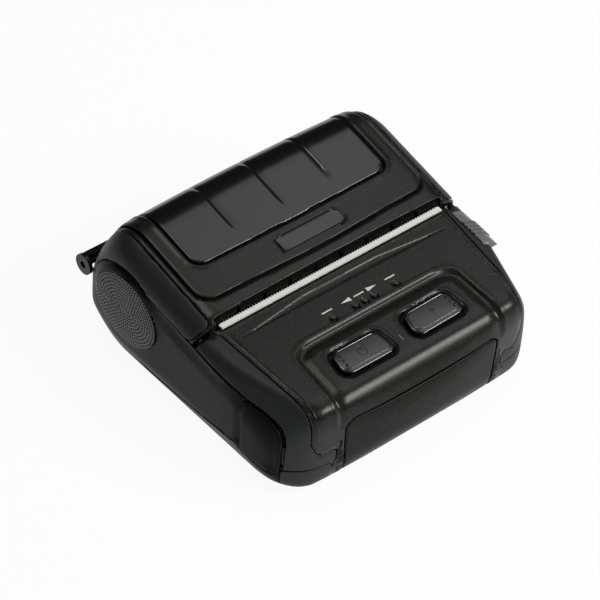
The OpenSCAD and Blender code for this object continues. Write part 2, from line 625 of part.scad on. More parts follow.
module board_screws() color(STEEL) {
    pair() translate([post_at[0], post_at[1], board_z + 1.6]) cylinder(h = 1.4, r = 2);
    pair() translate([post_at[0], post_at[1], board_z - 2.6]) cylinder(h = 4.6, r = 1);
    on_panel() pair() for (y = [-46, -19]) translate([36, y, key_board_w[0] - 1.2]) {
        cylinder(h = 1.2, r = 1.7);
        cylinder(h = 5, r = 0.85);
    }
}
module key_board() color(BOARD) on_panel() difference() {
    translate([-39, -50, key_board_w[0]]) cube([78, 34.5, key_board_w[1] - key_board_w[0]]);
    pair() for (y = [-46, -19]) translate([36, y, -9]) cylinder(h = 9, r = 0.95);
}
module dome_switches() color(STEEL) on_panel() pair() translate([button_x, button_y, key_board_w[1]]) {
    translate([-3, -3, 0]) cube([6, 6, 0.4]);
    cylinder(h = dome_w - key_board_w[1], r = 2.2);
}
module indicator_lights() color("#5c6a5a") on_panel() for (x = light_pitch)
    translate([x, light_y, key_board_w[1]]) cylinder(h = -key_board_w[1] + 0.1, r = light_r);
module power_button() color("#45484d") on_panel() mirror([1, 0, 0]) key_cap();
module feed_button() color("#45484d") on_panel() key_cap();
module key_cap() {
    button_plate(0, -2.4, button_top);
    button_plate(1, -3, -2.3);
    translate([button_x, button_y, dome_w + button_travel + 0.1]) cylinder(h = -2.5 - dome_w - button_travel, r = 2);
    for (i = [-1, 0, 1]) translate([button_x + button_w / 2 - 0.8 + 0.5 * -i, button_y + 3.2 * i, 0])
        cylinder(h = button_top + 0.35, r = 0.5);
}
module port_sockets() color("#2a2c30") {
    for (s = [[-57.4, -51.4, 7.7], [-50.6, -46.8, 5.2], [-46, -43.2, 7.2]])
        block([8 - half_w, s[0], socket_z - s[2] / 2], [15.6 - half_w, s[1], socket_z + s[2] / 2]);
}
module port_cover() color("#1a1a16") intersection() {
    difference() {
        case_form(0);
        case_form(skin - 0.1);
    }
    port_zone(0);
    below_parting(reveal + gap);
}
module release_lever() color("#8a8a8a") difference() {
    union() {
        intersection() {
            case_form(-0.1);
            lever_zone(0);
        }
        intersection() {
            case_form(-0.7);
            lever_zone(0);
            for (i = [0:3]) block([panel_half, -29.4 + 2.2 * i, 40], [95, -28.4 + 2.2 * i, 60]);
        }
    }
    bar(lever_at, 1 + run_fit, panel_half, half_w);
}
module lever_pin() color(STEEL) lever_axle(0);
module lever_axle(grow) bar(lever_at, 1 + grow, panel_half - 3 - grow, half_w - 5.6 + grow);
module latch_shaft() color(STEEL) {
    bar(latch_at, 2, -hook_x, hook_x);
    pair() difference() {
        across(hook_x, hook_x + hook_t) union() {
            translate(latch_at) circle(3.6);
            polygon([latch_at + [-3, 0], latch_at + [3, 0], [-4.9, 30], [-4.7, hook_top - 2.2], [-3.9, hook_top - 0.8],
                [-4.2, hook_top], [-6.4, hook_top], [-8, hook_top - 2.6], [-8.2, 30]]);
        }
        bar(latch_at, 0.8, -95, 95);
    }
}
module latch_spring() color(STEEL) translate([44, latch_at[0], latch_at[1]]) rotate([0, 90, 0]) spring(2.7, 0.35, 6, 9);
module label_and_cover_sensors() color("#2a2c30") {
    block([cheek_x - 5, -3, 22], [cheek_x, 3, 30]);
    block([-6, -3, 25.4], [6, 0.6, 28.6]);
}

module open_top() across(-95, 95) polygon([[-95, 30], [bin_at[0], 30], [bin_at[0], 33], [90, 45], [90, 95], [-95, 95]]);
module roll_well() color("#3a3c3d") difference() {
    union() {
        difference() {
            bar(bin_at, bin_r + bin_t, -bin_x, bin_x);
            bar(bin_at, bin_r, -bin_x + bin_t, bin_x - bin_t);
            open_top();
        }
        block([7.5 - bin_x, -4, 28.6], [bin_x - 7.5, bin_at[0] - bin_r + 0.1, 30]);
        for (x = [-38, 38]) difference() {
            block([x - 2, 22, floor_z], [x + 2, 40, 8]);
            bar(bin_at, bin_r + bin_t - 0.2, x - 3, x + 3);
        }
    }
    pair() intersection() {
        difference() {
            bar(bin_at, bin_r + 4, guide_x - guide_travel - guide_t / 2 - 0.6, guide_x + guide_t / 2 + 0.6);
            bar(bin_at, bin_r - 4, guide_x - guide_travel - 2, guide_x + 2);
        }
        across(0, 95) polygon([bin_at, bin_at + polar(slot_from, 50), bin_at + polar(slot_to, 50)]);
    }
}
module guide_disc() difference() {
    union() {
        bar(bin_at, bin_r - disc_gap, guide_x - guide_t / 2, guide_x + guide_t / 2);
        bar(bin_at, 9, guide_x - guide_t / 2 - 3, guide_x);
    }
    bar(bin_at, 6, 0, 95);
}
module rack_bar(x0, x1, up) translate([0, rack_at[0] + rack_t / 2, 0]) rotate([90, 0, 0]) linear_extrude(rack_t)
    translate([0, rack_at[1] - up * rack_pitch_r]) scale([1, up]) {
        intersection() {
            polygon(concat([[-80, -2]], rack(-40, 40), [[80, -2]]));
            translate([x0, -1.6]) square([x1 - x0, 4]);
        }
    }
module left_guide() color("#5b5e61") {
    mirror([1, 0, 0]) guide_disc();
    across(-guide_x - guide_t / 2, -guide_x + guide_t / 2) difference() {
        polygon([[18, 15.6], [13, 21], [4.2, 14.6], [4.2, 13.8], [8, 13.2]]);
        translate(bin_at) circle(bin_r - disc_gap - 0.5);
    }
    rack_bar(-guide_x, 5, -1);
}
module right_guide() color("#5b5e61") {
    guide_disc();
    across(guide_x - guide_t / 2, guide_x + guide_t / 2) difference() {
        polygon([[18, 15.6], [13, 20.5], [8.8, 16.3], [8.8, 5.6], [4.2, 5.6], [4.2, 4.4], [11.8, 4.4], [11.8, 13]]);
        translate(bin_at) circle(bin_r - disc_gap - 0.5);
    }
    rack_bar(-5, guide_x, 1);
}
module guide_pinion() color(GEAR) translate([0, rack_at[0] + rack_t / 2, rack_at[1]]) rotate([90, 0, 0])
    difference() {
        linear_extrude(rack_t) polygon(gear(guide_teeth));
        translate([0, 0, -1]) cylinder(h = rack_t + 2, r = 1.2 + run_fit);
    }

module battery_face() color("#3c3b38") intersection() {
    difference() {
        case_form(0);
        case_form(face_t);
    }
    face_zone(0);
}
module battery_case() color("#2b2b2a") difference() {
    intersection() {
        block([-battery_w / 2, battery_y[0], battery_z[0]], [battery_w / 2, battery_y[1], battery_z[1]]);
        case_form(face_t);
    }
    intersection() {
        block([-battery_w / 2 + 0.8, battery_y[0] - 1, battery_z[0] + battery_wall],
            [battery_w / 2 - 0.8, battery_y[1] - 0.8, battery_z[1] - battery_wall]);
        case_form(face_t + 0.5);
    }
}
module battery_cells() color("#3f6ea5") for (i = [1, 3])
    bar([battery_y[1] - 0.8 - i * (cell_r + 0.1), (battery_z[0] + battery_z[1]) / 2], cell_r, -cell_len / 2, cell_len / 2);
module battery_terminals() color(BRASS) for (x = [-12, 0, 12])
    block([x - 2.5, battery_y[1], 8], [x + 2.5, battery_y[1] + 0.4, 18]);
module battery_contacts() color(BRASS) for (x = [-12, 0, 12])
    block([x - 2, battery_y[1] + 0.8, 9], [x + 2, battery_y[1] + 1.7, 17]);
module battery_latch() color("#55585c") {
    block([-6.6, -56.6, foot_h + 0.3], [6.6, -52, floor_z - 0.4]);
    block([-4, -56.6, foot_h + 0.3], [4, -54.6, battery_z[0] - gap]);
}

module hinge_rod() color(STEEL) bar([hinge_y, hinge_z], rod_r, 5 - half_w, half_w - 5);
module lid_springs() color(STEEL) for (s = SPRING_SPANS)
    translate([s[0] + 1, hinge_y, hinge_z]) rotate([0, 90, 0]) spring(rod_r + 0.6, 0.3, 10, s[1] - s[0] - 2);
module lid_frame() color(SHELL) difference() {
    union() {
        intersection() {
            difference() {
                lid_form(0.3);
                lid_form(skin + wall);
                difference() {
                    union() {
                        pad_zone(0.8);
                        strip_zone(-0.1);
                    }
                    lid_form(skin);
                }
            }
            above_parting(reveal);
            behind_split(reveal);
        }
        for (s = LID_KNUCKLES) {
            bar([hinge_y, hinge_z], knuckle_r, s[0], s[1]);
            intersection() {
                block([s[0], rear_y - 2.5, hinge_z + 1.1], [s[1], hinge_y, hinge_z + rail_low]);
                union() {
                    above_parting(gap);
                    bar([hinge_y, hinge_z], knuckle_r, s[0], s[1]);
                }
            }
        }
    }
    block([-panel_half, -95, 0], [panel_half, exit_y + 0.6, 95]);
    block([-panel_half, -20, 0], [panel_half, 0, lip_z]);
    pair() block([hook_x - 2 * gap, -9.5, 0], [hook_x + hook_t + 2 * gap, 0, hook_top + 2 * gap]);
    hinge_cuts(base_knuckle_r + 0.5, BASE_KNUCKLES);
    hinge_cuts(rod_r + 1.4, SPRING_SPANS);
    bar([hinge_y, hinge_z], rod_r + run_fit, -half_w, half_w);
}
module lid_skin(t) intersection() {
    difference() {
        lid_form(t);
        lid_form(skin);
    }
    block([-95, -10, 44], [95, 95, 95]);
    children();
}
module lid_pad() color("#34343a") difference() {
    lid_skin(0) pad_zone(0);
    window_zone(reveal);
    badge_zone(reveal);
}
module badge_zone(d) translate([badge_at[0] - badge_w / 2 - d, badge_at[1] - badge_d / 2 - d, 0])
    cube([badge_w + 2 * d, badge_d + 2 * d, 95]);
module badge_plate() color("#4a4a4c") intersection() {
    lid_form(0.2);
    block([-95, -10, 44], [95, 20, 95]);
    difference() {
        badge_zone(0);
        lid_form(skin);
    }
}
module lid_window() color("#22211e") difference() {
    lid_skin(0) window_zone(0);
    for (x = [-26, 0, 26]) translate([x - 0.6, 18.5, 0]) cube([1.2, 30, 95]);
}
module lid_strip(side) intersection() {
    difference() {
        lid_form(0);
        lid_form(skin);
    }
    strip_zone(0);
    above_parting(reveal);
    behind_split(reveal);
    block([side > 0 ? 0 : -95, -95, 0], [side > 0 ? 95 : 0, rear_y - 12, 95]);
}
module left_lid_strip() color(RUBBER) lid_strip(-1);
module right_lid_strip() color(RUBBER) lid_strip(1);
module exit_comb() color(SHELL) {
    block([-panel_half + 0.7, exit_y + 2.4, lip_z - 3.4], [panel_half - 0.7, exit_y + 3.6, lip_z]);
    comb_w = (2 * panel_half - 1.4 - 8 * 2) / 9;
    for (i = [0:8]) let (x = -panel_half + 0.7 + i * (comb_w + 2))
        block([x, exit_y + 0.7, lip_z - 3.4], [x + comb_w, exit_y + 2.5, lip_z]);
}
module lid_liner() color("#3a3c3d") difference() {
    union() {
        intersection() {
            difference() {
                lid_form(skin + wall);
                lid_form(skin + wall + 1.5);
            }
            block([13.8 - half_w, exit_y + 3.8, lid_at(0) - 8.8], [half_w - 13.8, 12, 95]);
        }
        pair() intersection() {
            across(ear_x, ear_x + ear_t) union() {
                translate(platen_at) circle(6);
                polygon([platen_at + [-3.9, 0], platen_at + [6, 0], [platen_at[0] + 6, lid_at(0)],
                    [platen_at[0] - 3.9, lid_at(0)]]);
            }
            lid_form(skin + wall + 0.2);
        }
    }
    bar(platen_at, 4.5, -half_w, half_w);
}
module lid_screws() color(STEEL) pair() for (x = [20, 48]) translate([x, 7, 0]) intersection() {
    translate([0, 0, lid_at(7) - 20]) cylinder(h = 20, r = 2.2);
    difference() {
        translate([-x, -7, 0]) lid_form(skin + wall + 1.5);
        translate([-x, -7, 0]) lid_form(skin + wall + 2.7);
    }
}
module platen_bearings() color(BRASS) pair() difference() {
    bar(platen_at, 4.5, ear_x - 0.2, ear_x + ear_t + 0.3);
    bar(platen_at, shaft_r + run_fit, 0, half_w);
}
module platen_sleeve() color("#4a4c4e") difference() {
    bar(platen_at, platen_r, -platen_len / 2, platen_len / 2);
    bar(platen_at, shaft_r, -half_w, half_w);
}
module platen_shaft() color(STEEL) bar(platen_at, shaft_r, 4 - half_w, half_w - 4);
module platen_gear() color(GEAR) difference() {
    wheel(platen_at, -step_x - gear_t, meshed(transfer_phase, transfer_teeth, platen_teeth, 71.8), platen_teeth);
    bar(platen_at, shaft_r, -half_w, half_w);
}
module print_head() color("#e6e2d8") block([-platen_len / 2, head_face - 0.8, 34], [platen_len / 2, head_face, 47.4]);
module head_heat_sink() color("#9fa3a6") {
    block([-platen_len / 2, head_face - 4.3, 31], [platen_len / 2, head_face - 0.8, 47.4]);
    pair() bar(head_at, 1.2, platen_len / 2 - 1, bracket_half - 0.1);
}
module head_springs() color(STEEL) for (x = [-36, -12, 12, 36])
    translate([x, head_face - 4.3, 42.5]) rotate([90, 0, 0]) spring(1.8, 0.3, 4, head_face - 4.3 - bracket_y - 0.7);
module lid_rail() color(SHELL) difference() {
    union() {
        block([5.8 - half_w, hinge_y - 1.2, hinge_z + rail_low], [half_w - 5.8, hinge_y + 1.8, hinge_z + disc_r]);
        pair() bar([hinge_y, hinge_z], disc_r, half_w - 5.8, half_w - 4.1);
    }
    for (s = LID_KNUCKLES) bar([hinge_y, hinge_z], knuckle_r, s[0] - 0.02, s[1] + 0.02);
    bar([hinge_y, hinge_z], rod_r + run_fit, -half_w, half_w);
}

lower_case();
front_housing();
left_front_bumper();
right_front_bumper();
left_grille();
right_grille();
tear_bar();
rubber_feet();
case_screws();
chassis();
gear_plate();
gear_pins();
head_bracket();
stepper_motor();
motor_pinion();
idler_gear();
transfer_gear();
main_board();
board_screws();
key_board();
dome_switches();
indicator_lights();
power_button();
feed_button();
port_sockets();
port_cover();
release_lever();
lever_pin();
latch_shaft();
latch_spring();
label_and_cover_sensors();
roll_well();
left_guide();
right_guide();
guide_pinion();
battery_face();
battery_case();
battery_cells();
battery_terminals();
battery_contacts();
battery_latch();
hinge_rod();
lid_springs();
lid_frame();
lid_pad();
badge_plate();
lid_window();
left_lid_strip();
right_lid_strip();
exit_comb();
lid_liner();
lid_screws();
platen_bearings();
platen_sleeve();
platen_shaft();
platen_gear();
print_head();
head_heat_sink();
head_springs();
lid_rail();
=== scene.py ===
# %% [markdown]
# # A portable label printer, dressed round its CAD frame
# The real object is a black clamshell printer: satin shells, slate rubber at the corners, a smoked
# lid window and a bright tear bar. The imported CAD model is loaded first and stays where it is.
# Every visible skin is then modelled in millimetres and scaled to metres when it is finished.

# %% Load the frame
import bpy, bmesh, math
import numpy as np
from mathutils import Matrix, Vector


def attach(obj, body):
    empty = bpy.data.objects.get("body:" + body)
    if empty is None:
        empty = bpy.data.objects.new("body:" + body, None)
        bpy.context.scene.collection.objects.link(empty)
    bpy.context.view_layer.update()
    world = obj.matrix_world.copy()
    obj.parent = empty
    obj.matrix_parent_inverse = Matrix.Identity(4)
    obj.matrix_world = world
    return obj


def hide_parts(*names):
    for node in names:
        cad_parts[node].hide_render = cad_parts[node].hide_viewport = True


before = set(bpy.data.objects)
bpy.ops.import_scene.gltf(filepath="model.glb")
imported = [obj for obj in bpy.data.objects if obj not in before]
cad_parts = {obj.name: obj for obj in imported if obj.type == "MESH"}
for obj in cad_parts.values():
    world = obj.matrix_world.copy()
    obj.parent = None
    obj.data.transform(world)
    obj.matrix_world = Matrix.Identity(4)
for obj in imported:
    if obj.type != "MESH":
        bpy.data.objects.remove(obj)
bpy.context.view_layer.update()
MM = 0.001
print("frame loaded:", len(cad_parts), "nodes")

# %% [markdown]
# ## Camera
# The photograph is taken with a long lens from the front left, about 44 degrees up, and tilted by 5
# degrees. The lens and the angles were worked out from the printer's straight edges.

# %% Camera
def place_camera(azimuth, elevation, roll, aim, distance, lens):
    a, e, r = (math.radians(v) for v in (azimuth, elevation, roll))
    back = Vector((math.sin(a) * math.cos(e), -math.cos(a) * math.cos(e), math.sin(e)))
    level = Vector((math.cos(a), math.sin(a), 0))
    above = back.cross(level)
    right = level * math.cos(r) + above * math.sin(r)
    up = above * math.cos(r) - level * math.sin(r)
    data = bpy.data.cameras.new("camera")
    data.lens, data.sensor_width = lens, 36
    data.clip_start, data.clip_end = 0.05, 20
    camera = bpy.data.objects.new("camera", data)
    bpy.context.scene.collection.objects.link(camera)
    place = Matrix((right, up, back)).transposed().to_4x4()
    place.translation = Vector(aim) * MM + back * distance * MM
    camera.matrix_world = place
    bpy.context.scene.camera = camera
    return camera

camera = place_camera(azimuth=-43.8, elevation=43.7, roll=5, aim=(0, 6.6, 18.5), distance=1322, lens=188.8)
print("camera at", [round(v, 3) for v in camera.matrix_world.translation])

# %% [markdown]
# ## Shader maths
# A wrapped socket lets a mask be written as plain arithmetic. Each operator adds one Math node.

# %% Socket arithmetic
class Wire:
    def __init__(self, paint, socket):
        self.paint, self.socket = paint, socket

    def _math(self, operation, *values):
        return self.paint.node("ShaderNodeMath", {"operation": operation}, *values)

    def __add__(self, other): return self._math("ADD", self, other)
    def __radd__(self, other): return self._math("ADD", other, self)
    def __sub__(self, other): return self._math("SUBTRACT", self, other)
    def __rsub__(self, other): return self._math("SUBTRACT", other, self)
    def __mul__(self, other): return self._math("MULTIPLY", self, other)
    def __rmul__(self, other): return self._math("MULTIPLY", other, self)
    def __truediv__(self, other): return self._math("DIVIDE", self, other)
    def __pow__(self, other): return self._math("POWER", self, other)
    def __abs__(self): return self._math("ABSOLUTE", self)

    def clip(self):
        return self.paint.node("ShaderNodeClamp", {}, self)

    def above(self, edge, soft=0.06):
        """Mask of where this lies above an edge, softened by this much on both sides."""
        return ((self - (edge - soft)) / (2 * soft)).clip()


class Paint:
    """A material under construction: node() adds any node and returns its first output."""

    def __init__(self, name):
        self.material = bpy.data.materials.new(name)
        self.material.use_nodes = True
        self.tree = self.material.node_tree
        self.shader = self.tree.nodes["Principled BSDF"]
        self.place = self.node("ShaderNodeTexCoord", {}, output="Object")

    def node(self, kind, settings, *inputs, output=0, **named):
        made = self.tree.nodes.new(kind)
        for key, value in settings.items():
            setattr(made, key, value)
        for slot, value in list(enumerate(inputs)) + list(named.items()):
            self.feed(made.inputs[slot if isinstance(slot, int) else slot.replace("_", " ")], value)
        return Wire(self, made.outputs[output])

    def feed(self, socket, value):
        if isinstance(value, Wire):
            self.tree.links.new(value.socket, socket)
        elif value is not None:
            socket.default_value = value

    def place_mm(self):
        """The three coordinates of the shaded point, in millimetres."""
        return [self.node("ShaderNodeSeparateXYZ", {}, self.place, output=k) * 1000 for k in range(3)]

    def noise(self, per_metre, detail, stretch=None):
        place = self.place
        if stretch:
            place = self.node("ShaderNodeMapping", {}, place, Scale=stretch)
        return self.node("ShaderNodeTexNoise", {}, Vector=place, Scale=per_metre, Detail=detail)

    def mix(self, share, first, second):
        mixed = self.node("ShaderNodeMix", {"data_type": "RGBA"}, share, output=2)
        made = mixed.socket.node
        for socket, value in zip((made.inputs[6], made.inputs[7]), (first, second)):
            self.feed(socket, value if isinstance(value, Wire) else (*value, 1))
        return mixed

    def bump(self, height, distance, strength):
        self.feed(self.shader.inputs["Normal"],
                  self.node("ShaderNodeBump", {}, Strength=strength, Distance=distance, Height=height))

    def set(self, **values):
        for key, value in values.items():
            if isinstance(value, tuple):
                value = (*value, 1)
            self.feed(self.shader.inputs[key.replace("_", " ")], value)

print("paint kit ready")

# %% [markdown]
# ## Outlines and forms
# The shells were drawn on the CAD side as outlines seen from above, from the side and from the front.
# Here each outline becomes a signed distance, negative inside, and the distances are blended, so that
# the creases between them melt into one soft moulded form. All of this is in millimetres.

# %% Outlines as signed distances
ARC_STEPS = 9

def rounded(corners, radii):
    """A closed outline whose corners are arcs: one radius for all, or one for each."""
    points, count = [], len(corners)
    for i, corner in enumerate(corners):
        b = Vector(corner)
        u = (Vector(corners[i - 1]) - b).normalized()
        v = (Vector(corners[(i + 1) % count]) - b).normalized()
        radius = radii[i] if isinstance(radii, (list, tuple)) else radii
        if radius == 0:
            points.append(tuple(b))
            continue
        half = math.acos(max(-1.0, min(1.0, u.dot(v)))) / 2
        middle = b + (u + v).normalized() * radius / math.sin(half)
        start = b + u * radius / math.tan(half) - middle
        turn = math.copysign(math.pi - 2 * half, u.y * v.x - u.x * v.y)
        for k in range(ARC_STEPS + 1):
            c, s = math.cos(turn * k / ARC_STEPS), math.sin(turn * k / ARC_STEPS)
            points.append((middle.x + start.x * c - start.y * s, middle.y + start.x * s + start.y * c))
    return np.array(points)


def ellipse(centre, radii, count=48):
    """A closed outline of this many points round an ellipse."""
    w = np.arange(count) * 2 * math.pi / count
    return np.stack([centre[0] + radii[0] * np.cos(w), centre[1] + radii[1] * np.sin(w)], 1)


def outside(points, u, v):
    """Signed distance from a closed outline: negative inside it, positive outside."""
    best, inside = np.full(u.shape, 1e9), np.zeros(u.shape, bool)
    for (ax, ay), (bx, by) in zip(points, np.roll(points, -1, 0)):
        ex, ey = bx - ax, by - ay
        if ex * ex + ey * ey < 1e-12:
            continue
        wx, wy = u - ax, v - ay
        t = np.clip((wx * ex + wy * ey) / (ex * ex + ey * ey), 0, 1)
        best = np.minimum(best, (wx - t * ex) ** 2 + (wy - t * ey) ** 2)
        if ey:
            inside ^= ((ay > v) != (by > v)) & (u < ax + ex * (v - ay) / ey)
    return np.where(inside, -1, 1) * np.sqrt(best)


def blend_max(a, b, k):
    """The larger of two fields, with the crease between them rounded over a width of k."""
    h = np.clip(k - abs(a - b), 0, None) / k
    return np.maximum(a, b) + h * h * k / 4


def blend_min(a, b, k):
    return -blend_max(-a, -b, k)

print("outline kit ready:", len(rounded([(0, 0), (9, 0), (9, 9), (0, 9)], 2)), "points round a square")

# %% Sizes shared with the CAD frame
HALF = 71.8
FRONT, REAR, FOOT = -73.0, 66.0, 1.4
PANEL_Y, PANEL_Z, PANEL_TILT = -12.0, 50.3, math.radians(6.2)
PANEL_HALF, TAPER = 61.5, 4.2
LID_BACK, LID_TOP, LID_TILT, LID_FALL = 48.5, 68.7, math.radians(11.5), math.radians(53.7)
POD_AT, POD_R, POD_RISE = (34.8, 33.6), (21.8, 19.4), 1.2
print("case:", 2 * (HALF + POD_RISE), "mm over the pods")

# %% Outlines of the case and the lid
panel_at = lambda y: PANEL_Z + (y - PANEL_Y) * math.tan(PANEL_TILT)
# Seen from above, from the side, and from the front, where the sides tuck in towards the feet
PLAN = rounded([(HALF + 2, REAR), (-HALF - 2, REAR), (-HALF - 2, -20), (3.2 - HALF, FRONT + 6.5),
                (0, FRONT - 1.2), (HALF - 3.2, FRONT + 6.5), (HALF + 2, -20)],
               [17.5, 17.5, 0, 21, 200, 21, 0])
CASE_SIDE = rounded([(REAR + 1, panel_at(REAR + 1)), (FRONT + 7, panel_at(FRONT + 7)), (FRONT - 0.4, 28),
                     (FRONT - 0.4, 12), (FRONT + 6.5, FOOT), (REAR - 12, FOOT), (REAR + 1, 20)],
                    [0, 13, 24, 12, 8, 10, 14])
TUCK = rounded([(HALF, 95), (-HALF, 95), (-HALF, 40), (1.2 - HALF, 11), (5.4 - HALF, FOOT - 1),
                (HALF - 5.4, FOOT - 1), (HALF - 1.2, 11), (HALF, 40)],
               [0, 0, 60, 9, 0, 0, 9, 60])
# Cut through a front corner, through the side ahead of the pods, and through a rear corner low down
CORNER = rounded([(-130, -9), (77.5, -9), (92.4, 7.5), (92.4, 13), (86.4, 46.0), (-130, 90)],
                 [0, 0, 6, 20, 18, 0])
FLANK = rounded([(-160, -9), (71.2, -9), (87.0, 9.7), (87.0, 21.2), (50.1, 92), (-160, 92)],
                [0, 0, 6, 25, 0, 0])
HAUNCH = rounded([(-160, -9), (72.6, -9), (83.3, 17.7), (83.3, 95), (-160, 95)], [0, 0, 14, 0, 0])
FLANK_TURN, HAUNCH_TURN = math.radians(20), math.radians(16)
# Across the panel and across the lid, with the top surface at height 0
CROSS = rounded([(HALF + 1, 0), (-HALF - 1, 0), (-HALF - 1, -95), (HALF + 1, -95)], [11, 11, 0, 0])
LID_BOX = rounded([(HALF + 1, 0), (-HALF - 1, 0), (-HALF - 1, -110), (HALF + 1, -110)], [15, 15, 0, 0])
print("outlines:", sum(len(o) for o in (PLAN, CASE_SIDE, TUCK, CORNER, FLANK, HAUNCH, CROSS, LID_BOX)), "points")

# %% Forms of the case and the lid
def on_slope(y, z, y0, z0, tilt):
    """Distance up a slope, and height above it, of a point seen from the side."""
    c, s = math.cos(tilt), math.sin(tilt)
    return (y - y0) * c + (z - z0) * s, (z - z0) * c - (y - y0) * s


def slanted(p, turn):
    """Distance from the middle along a line that is turned from straight sideways towards the front."""
    return abs(p[:, 0]) * math.cos(turn) - p[:, 1] * math.sin(turn)


def case_form(p):
    """Outer form of the case. The last number of each blend is the width its crease is rounded over."""
    x, y, z = p.T
    _, w = on_slope(y, z, PANEL_Y, PANEL_Z, PANEL_TILT)
    f = blend_max(outside(PLAN, x, y), outside(TUCK, x, z), 2.5)
    f = blend_max(f, outside(CASE_SIDE, y, z), 3)
    f = blend_max(f, outside(CROSS, x, w), 2)
    f = blend_max(f, outside(CORNER, (abs(x) - y) * math.sqrt(0.5), z), 2.5)
    f = blend_max(f, outside(FLANK, slanted(p, FLANK_TURN), z), 2.5)
    f = blend_max(f, outside(HAUNCH, slanted(p, -HAUNCH_TURN), z), 2.5)
    on_pod = np.hypot((y - POD_AT[0]) / POD_R[0], (z - POD_AT[1]) / POD_R[1])
    rise = np.clip((1 - on_pod) / 0.16, 0, 1) * (abs(x) > 50)
    return f - POD_RISE * rise * rise * (3 - 2 * rise)


def lid_form(p):
    """Outer form of the lid: it rises to the back with a slight crown, then rolls off."""
    x, y, z = p.T
    _, up = on_slope(y, z, LID_BACK, LID_TOP, LID_TILT)
    _, down = on_slope(y, z, LID_BACK, LID_TOP, -LID_FALL)
    rear_fall = math.atan2(19.5, 4.8)
    crown = blend_max(up, down, 10) + 0.13 + x * x / 3000
    f = blend_max(crown, (y - 61.5) * math.sin(rear_fall) + (z - 50.5) * math.cos(rear_fall), 8)
    f = blend_max(outside(LID_BOX, x, f), y - 66.3, 4)
    f = blend_max(f, -10.6 - y, 4)
    return blend_max(f, blend_max(outside(PLAN, x, y), outside(TUCK, x, z), 2.5), 1.5)

print("forms ready")

# %% [markdown]
# ## Skins
# A skin starts as a finely divided box whose points are cast outwards onto a form. Lines are then cut
# into it wherever a field of distances has a given value, so every seam, groove and ridge gets its own
# edge loops, and the points between two loops are lifted or sunk by the relief's profile.

# %% Blanks
def points_of(bm):
    return np.array([v.co for v in bm.verts]).reshape(-1, 3)


def put_points(bm, points):
    for v, co in zip(bm.verts, points):
        v.co = co


STEP = 2.2
HALVINGS, FAR = 17, 90.0

def blank(form, low, high, core_low, core_high):
    """A divided box cast outwards onto a form, each point straight away from the core box."""
    low, high = Vector(low), Vector(high)
    bm = bmesh.new()
    size = high - low
    bmesh.ops.create_cube(bm, size=1, matrix=Matrix.Translation((low + high) / 2) @ Matrix.Diagonal((*size, 1)))
    for axis in range(3):
        along = [e for e in bm.edges if abs((e.verts[0].co - e.verts[1].co)[axis]) > 1e-6]
        bmesh.ops.subdivide_edges(bm, edges=along, cuts=int(size[axis] / STEP), use_grid_fill=True)
    start = np.clip(points_of(bm), core_low, core_high)
    way = points_of(bm) - start
    way /= np.linalg.norm(way, axis=1)[:, None]
    near, far = np.zeros(len(way)), np.full(len(way), FAR)
    for _ in range(HALVINGS):
        middle = (near + far) / 2
        out = form(start + way * middle[:, None]) > 0
        near, far = np.where(out, near, middle), np.where(out, middle, far)
    put_points(bm, start + way * near[:, None])
    return bm


REACH = 0.05

def slope_of(form, points):
    return np.stack([(form(points + d) - form(points - d)) / (2 * REACH) for d in np.eye(3) * REACH], 1)


case_blank = blank(case_form, (-72, -73, 1), (72, 66, 60), (-54, -55, 16), (54, 48, 32))
lid_blank = blank(lid_form, (-72, -10.6, 20), (72, 66, 67), (-58, 2, 22), (58, 48, 44))
print("blanks:", len(case_blank.faces), "and", len(lid_blank.faces), "faces")

# %% Cutting lines
CLOSE = 0.14

def cut_line(bm, field, level):
    """Splits the mesh where the field has this value. Points that lie close to the line slide onto it."""
    f = field(points_of(bm)) - level
    bm.verts.index_update()
    f[abs(f) < 1e-4] = 0
    for e in bm.edges:
        a, b = e.verts
        fa, fb = f[a.index], f[b.index]
        if fa * fb < 0:
            t = fa / (fa - fb)
            if t < CLOSE:
                a.co, f[a.index] = a.co.lerp(b.co, t), 0
            elif t > 1 - CLOSE:
                b.co, f[b.index] = a.co.lerp(b.co, t), 0
    splits = {}
    for e in bm.edges:
        fa, fb = (f[v.index] for v in e.verts)
        if fa * fb < 0:
            splits[e] = fa / (fa - fb)
    on_line = [v for v in bm.verts if f[v.index] == 0]
    if splits:
        made = bmesh.ops.bisect_edges(bm, edges=list(splits), cuts=1, edge_percents=splits)
        on_line += [g for g in made["geom_split"] if isinstance(g, bmesh.types.BMVert)]
    on_line = list({v for v in on_line if v.is_valid})
    if on_line:
        bmesh.ops.connect_verts(bm, verts=on_line, check_degenerate=False)


def refine(bm, field, width, longest):
    """Divides the edges that lie within a width of the field's zero until they are short."""
    for _ in range(4):
        near = abs(field(points_of(bm))) < width
        bm.verts.index_update()
        edges = [e for e in bm.edges if e.calc_length() > longest and all(near[v.index] for v in e.verts)]
        if not edges:
            break
        bmesh.ops.subdivide_edges(bm, edges=edges, cuts=1, use_grid_fill=True)

print("points within", CLOSE, "of an edge's length slide onto a line")

# %% Reliefs
class Relief:
    """Height as a profile of (distance, height) pairs across a field, faded by a mask."""

    def __init__(self, field, profile, fade=None, fine=None):
        self.field, self.profile, self.fade, self.fine = field, profile, fade, fine

    def cut(self, bm):
        if self.fine:
            reach = max(abs(d) for d, _ in self.profile) + self.fine
            refine(bm, self.field, reach, self.fine)
        for level, _ in self.profile:
            cut_line(bm, self.field, level)

    def height(self, p):
        distances, heights = zip(*self.profile)
        h = np.interp(self.field(p), distances, heights)
        return h if self.fade is None else h * self.fade(p)


def rim(radius):
    """Profile of a rounded edge that falls away at a boundary."""
    return [(radius * d, -radius * h) for d, h in ((0, 1), (0.07, 0.63), (0.27, 0.32), (0.58, 0.1), (1, 0))]

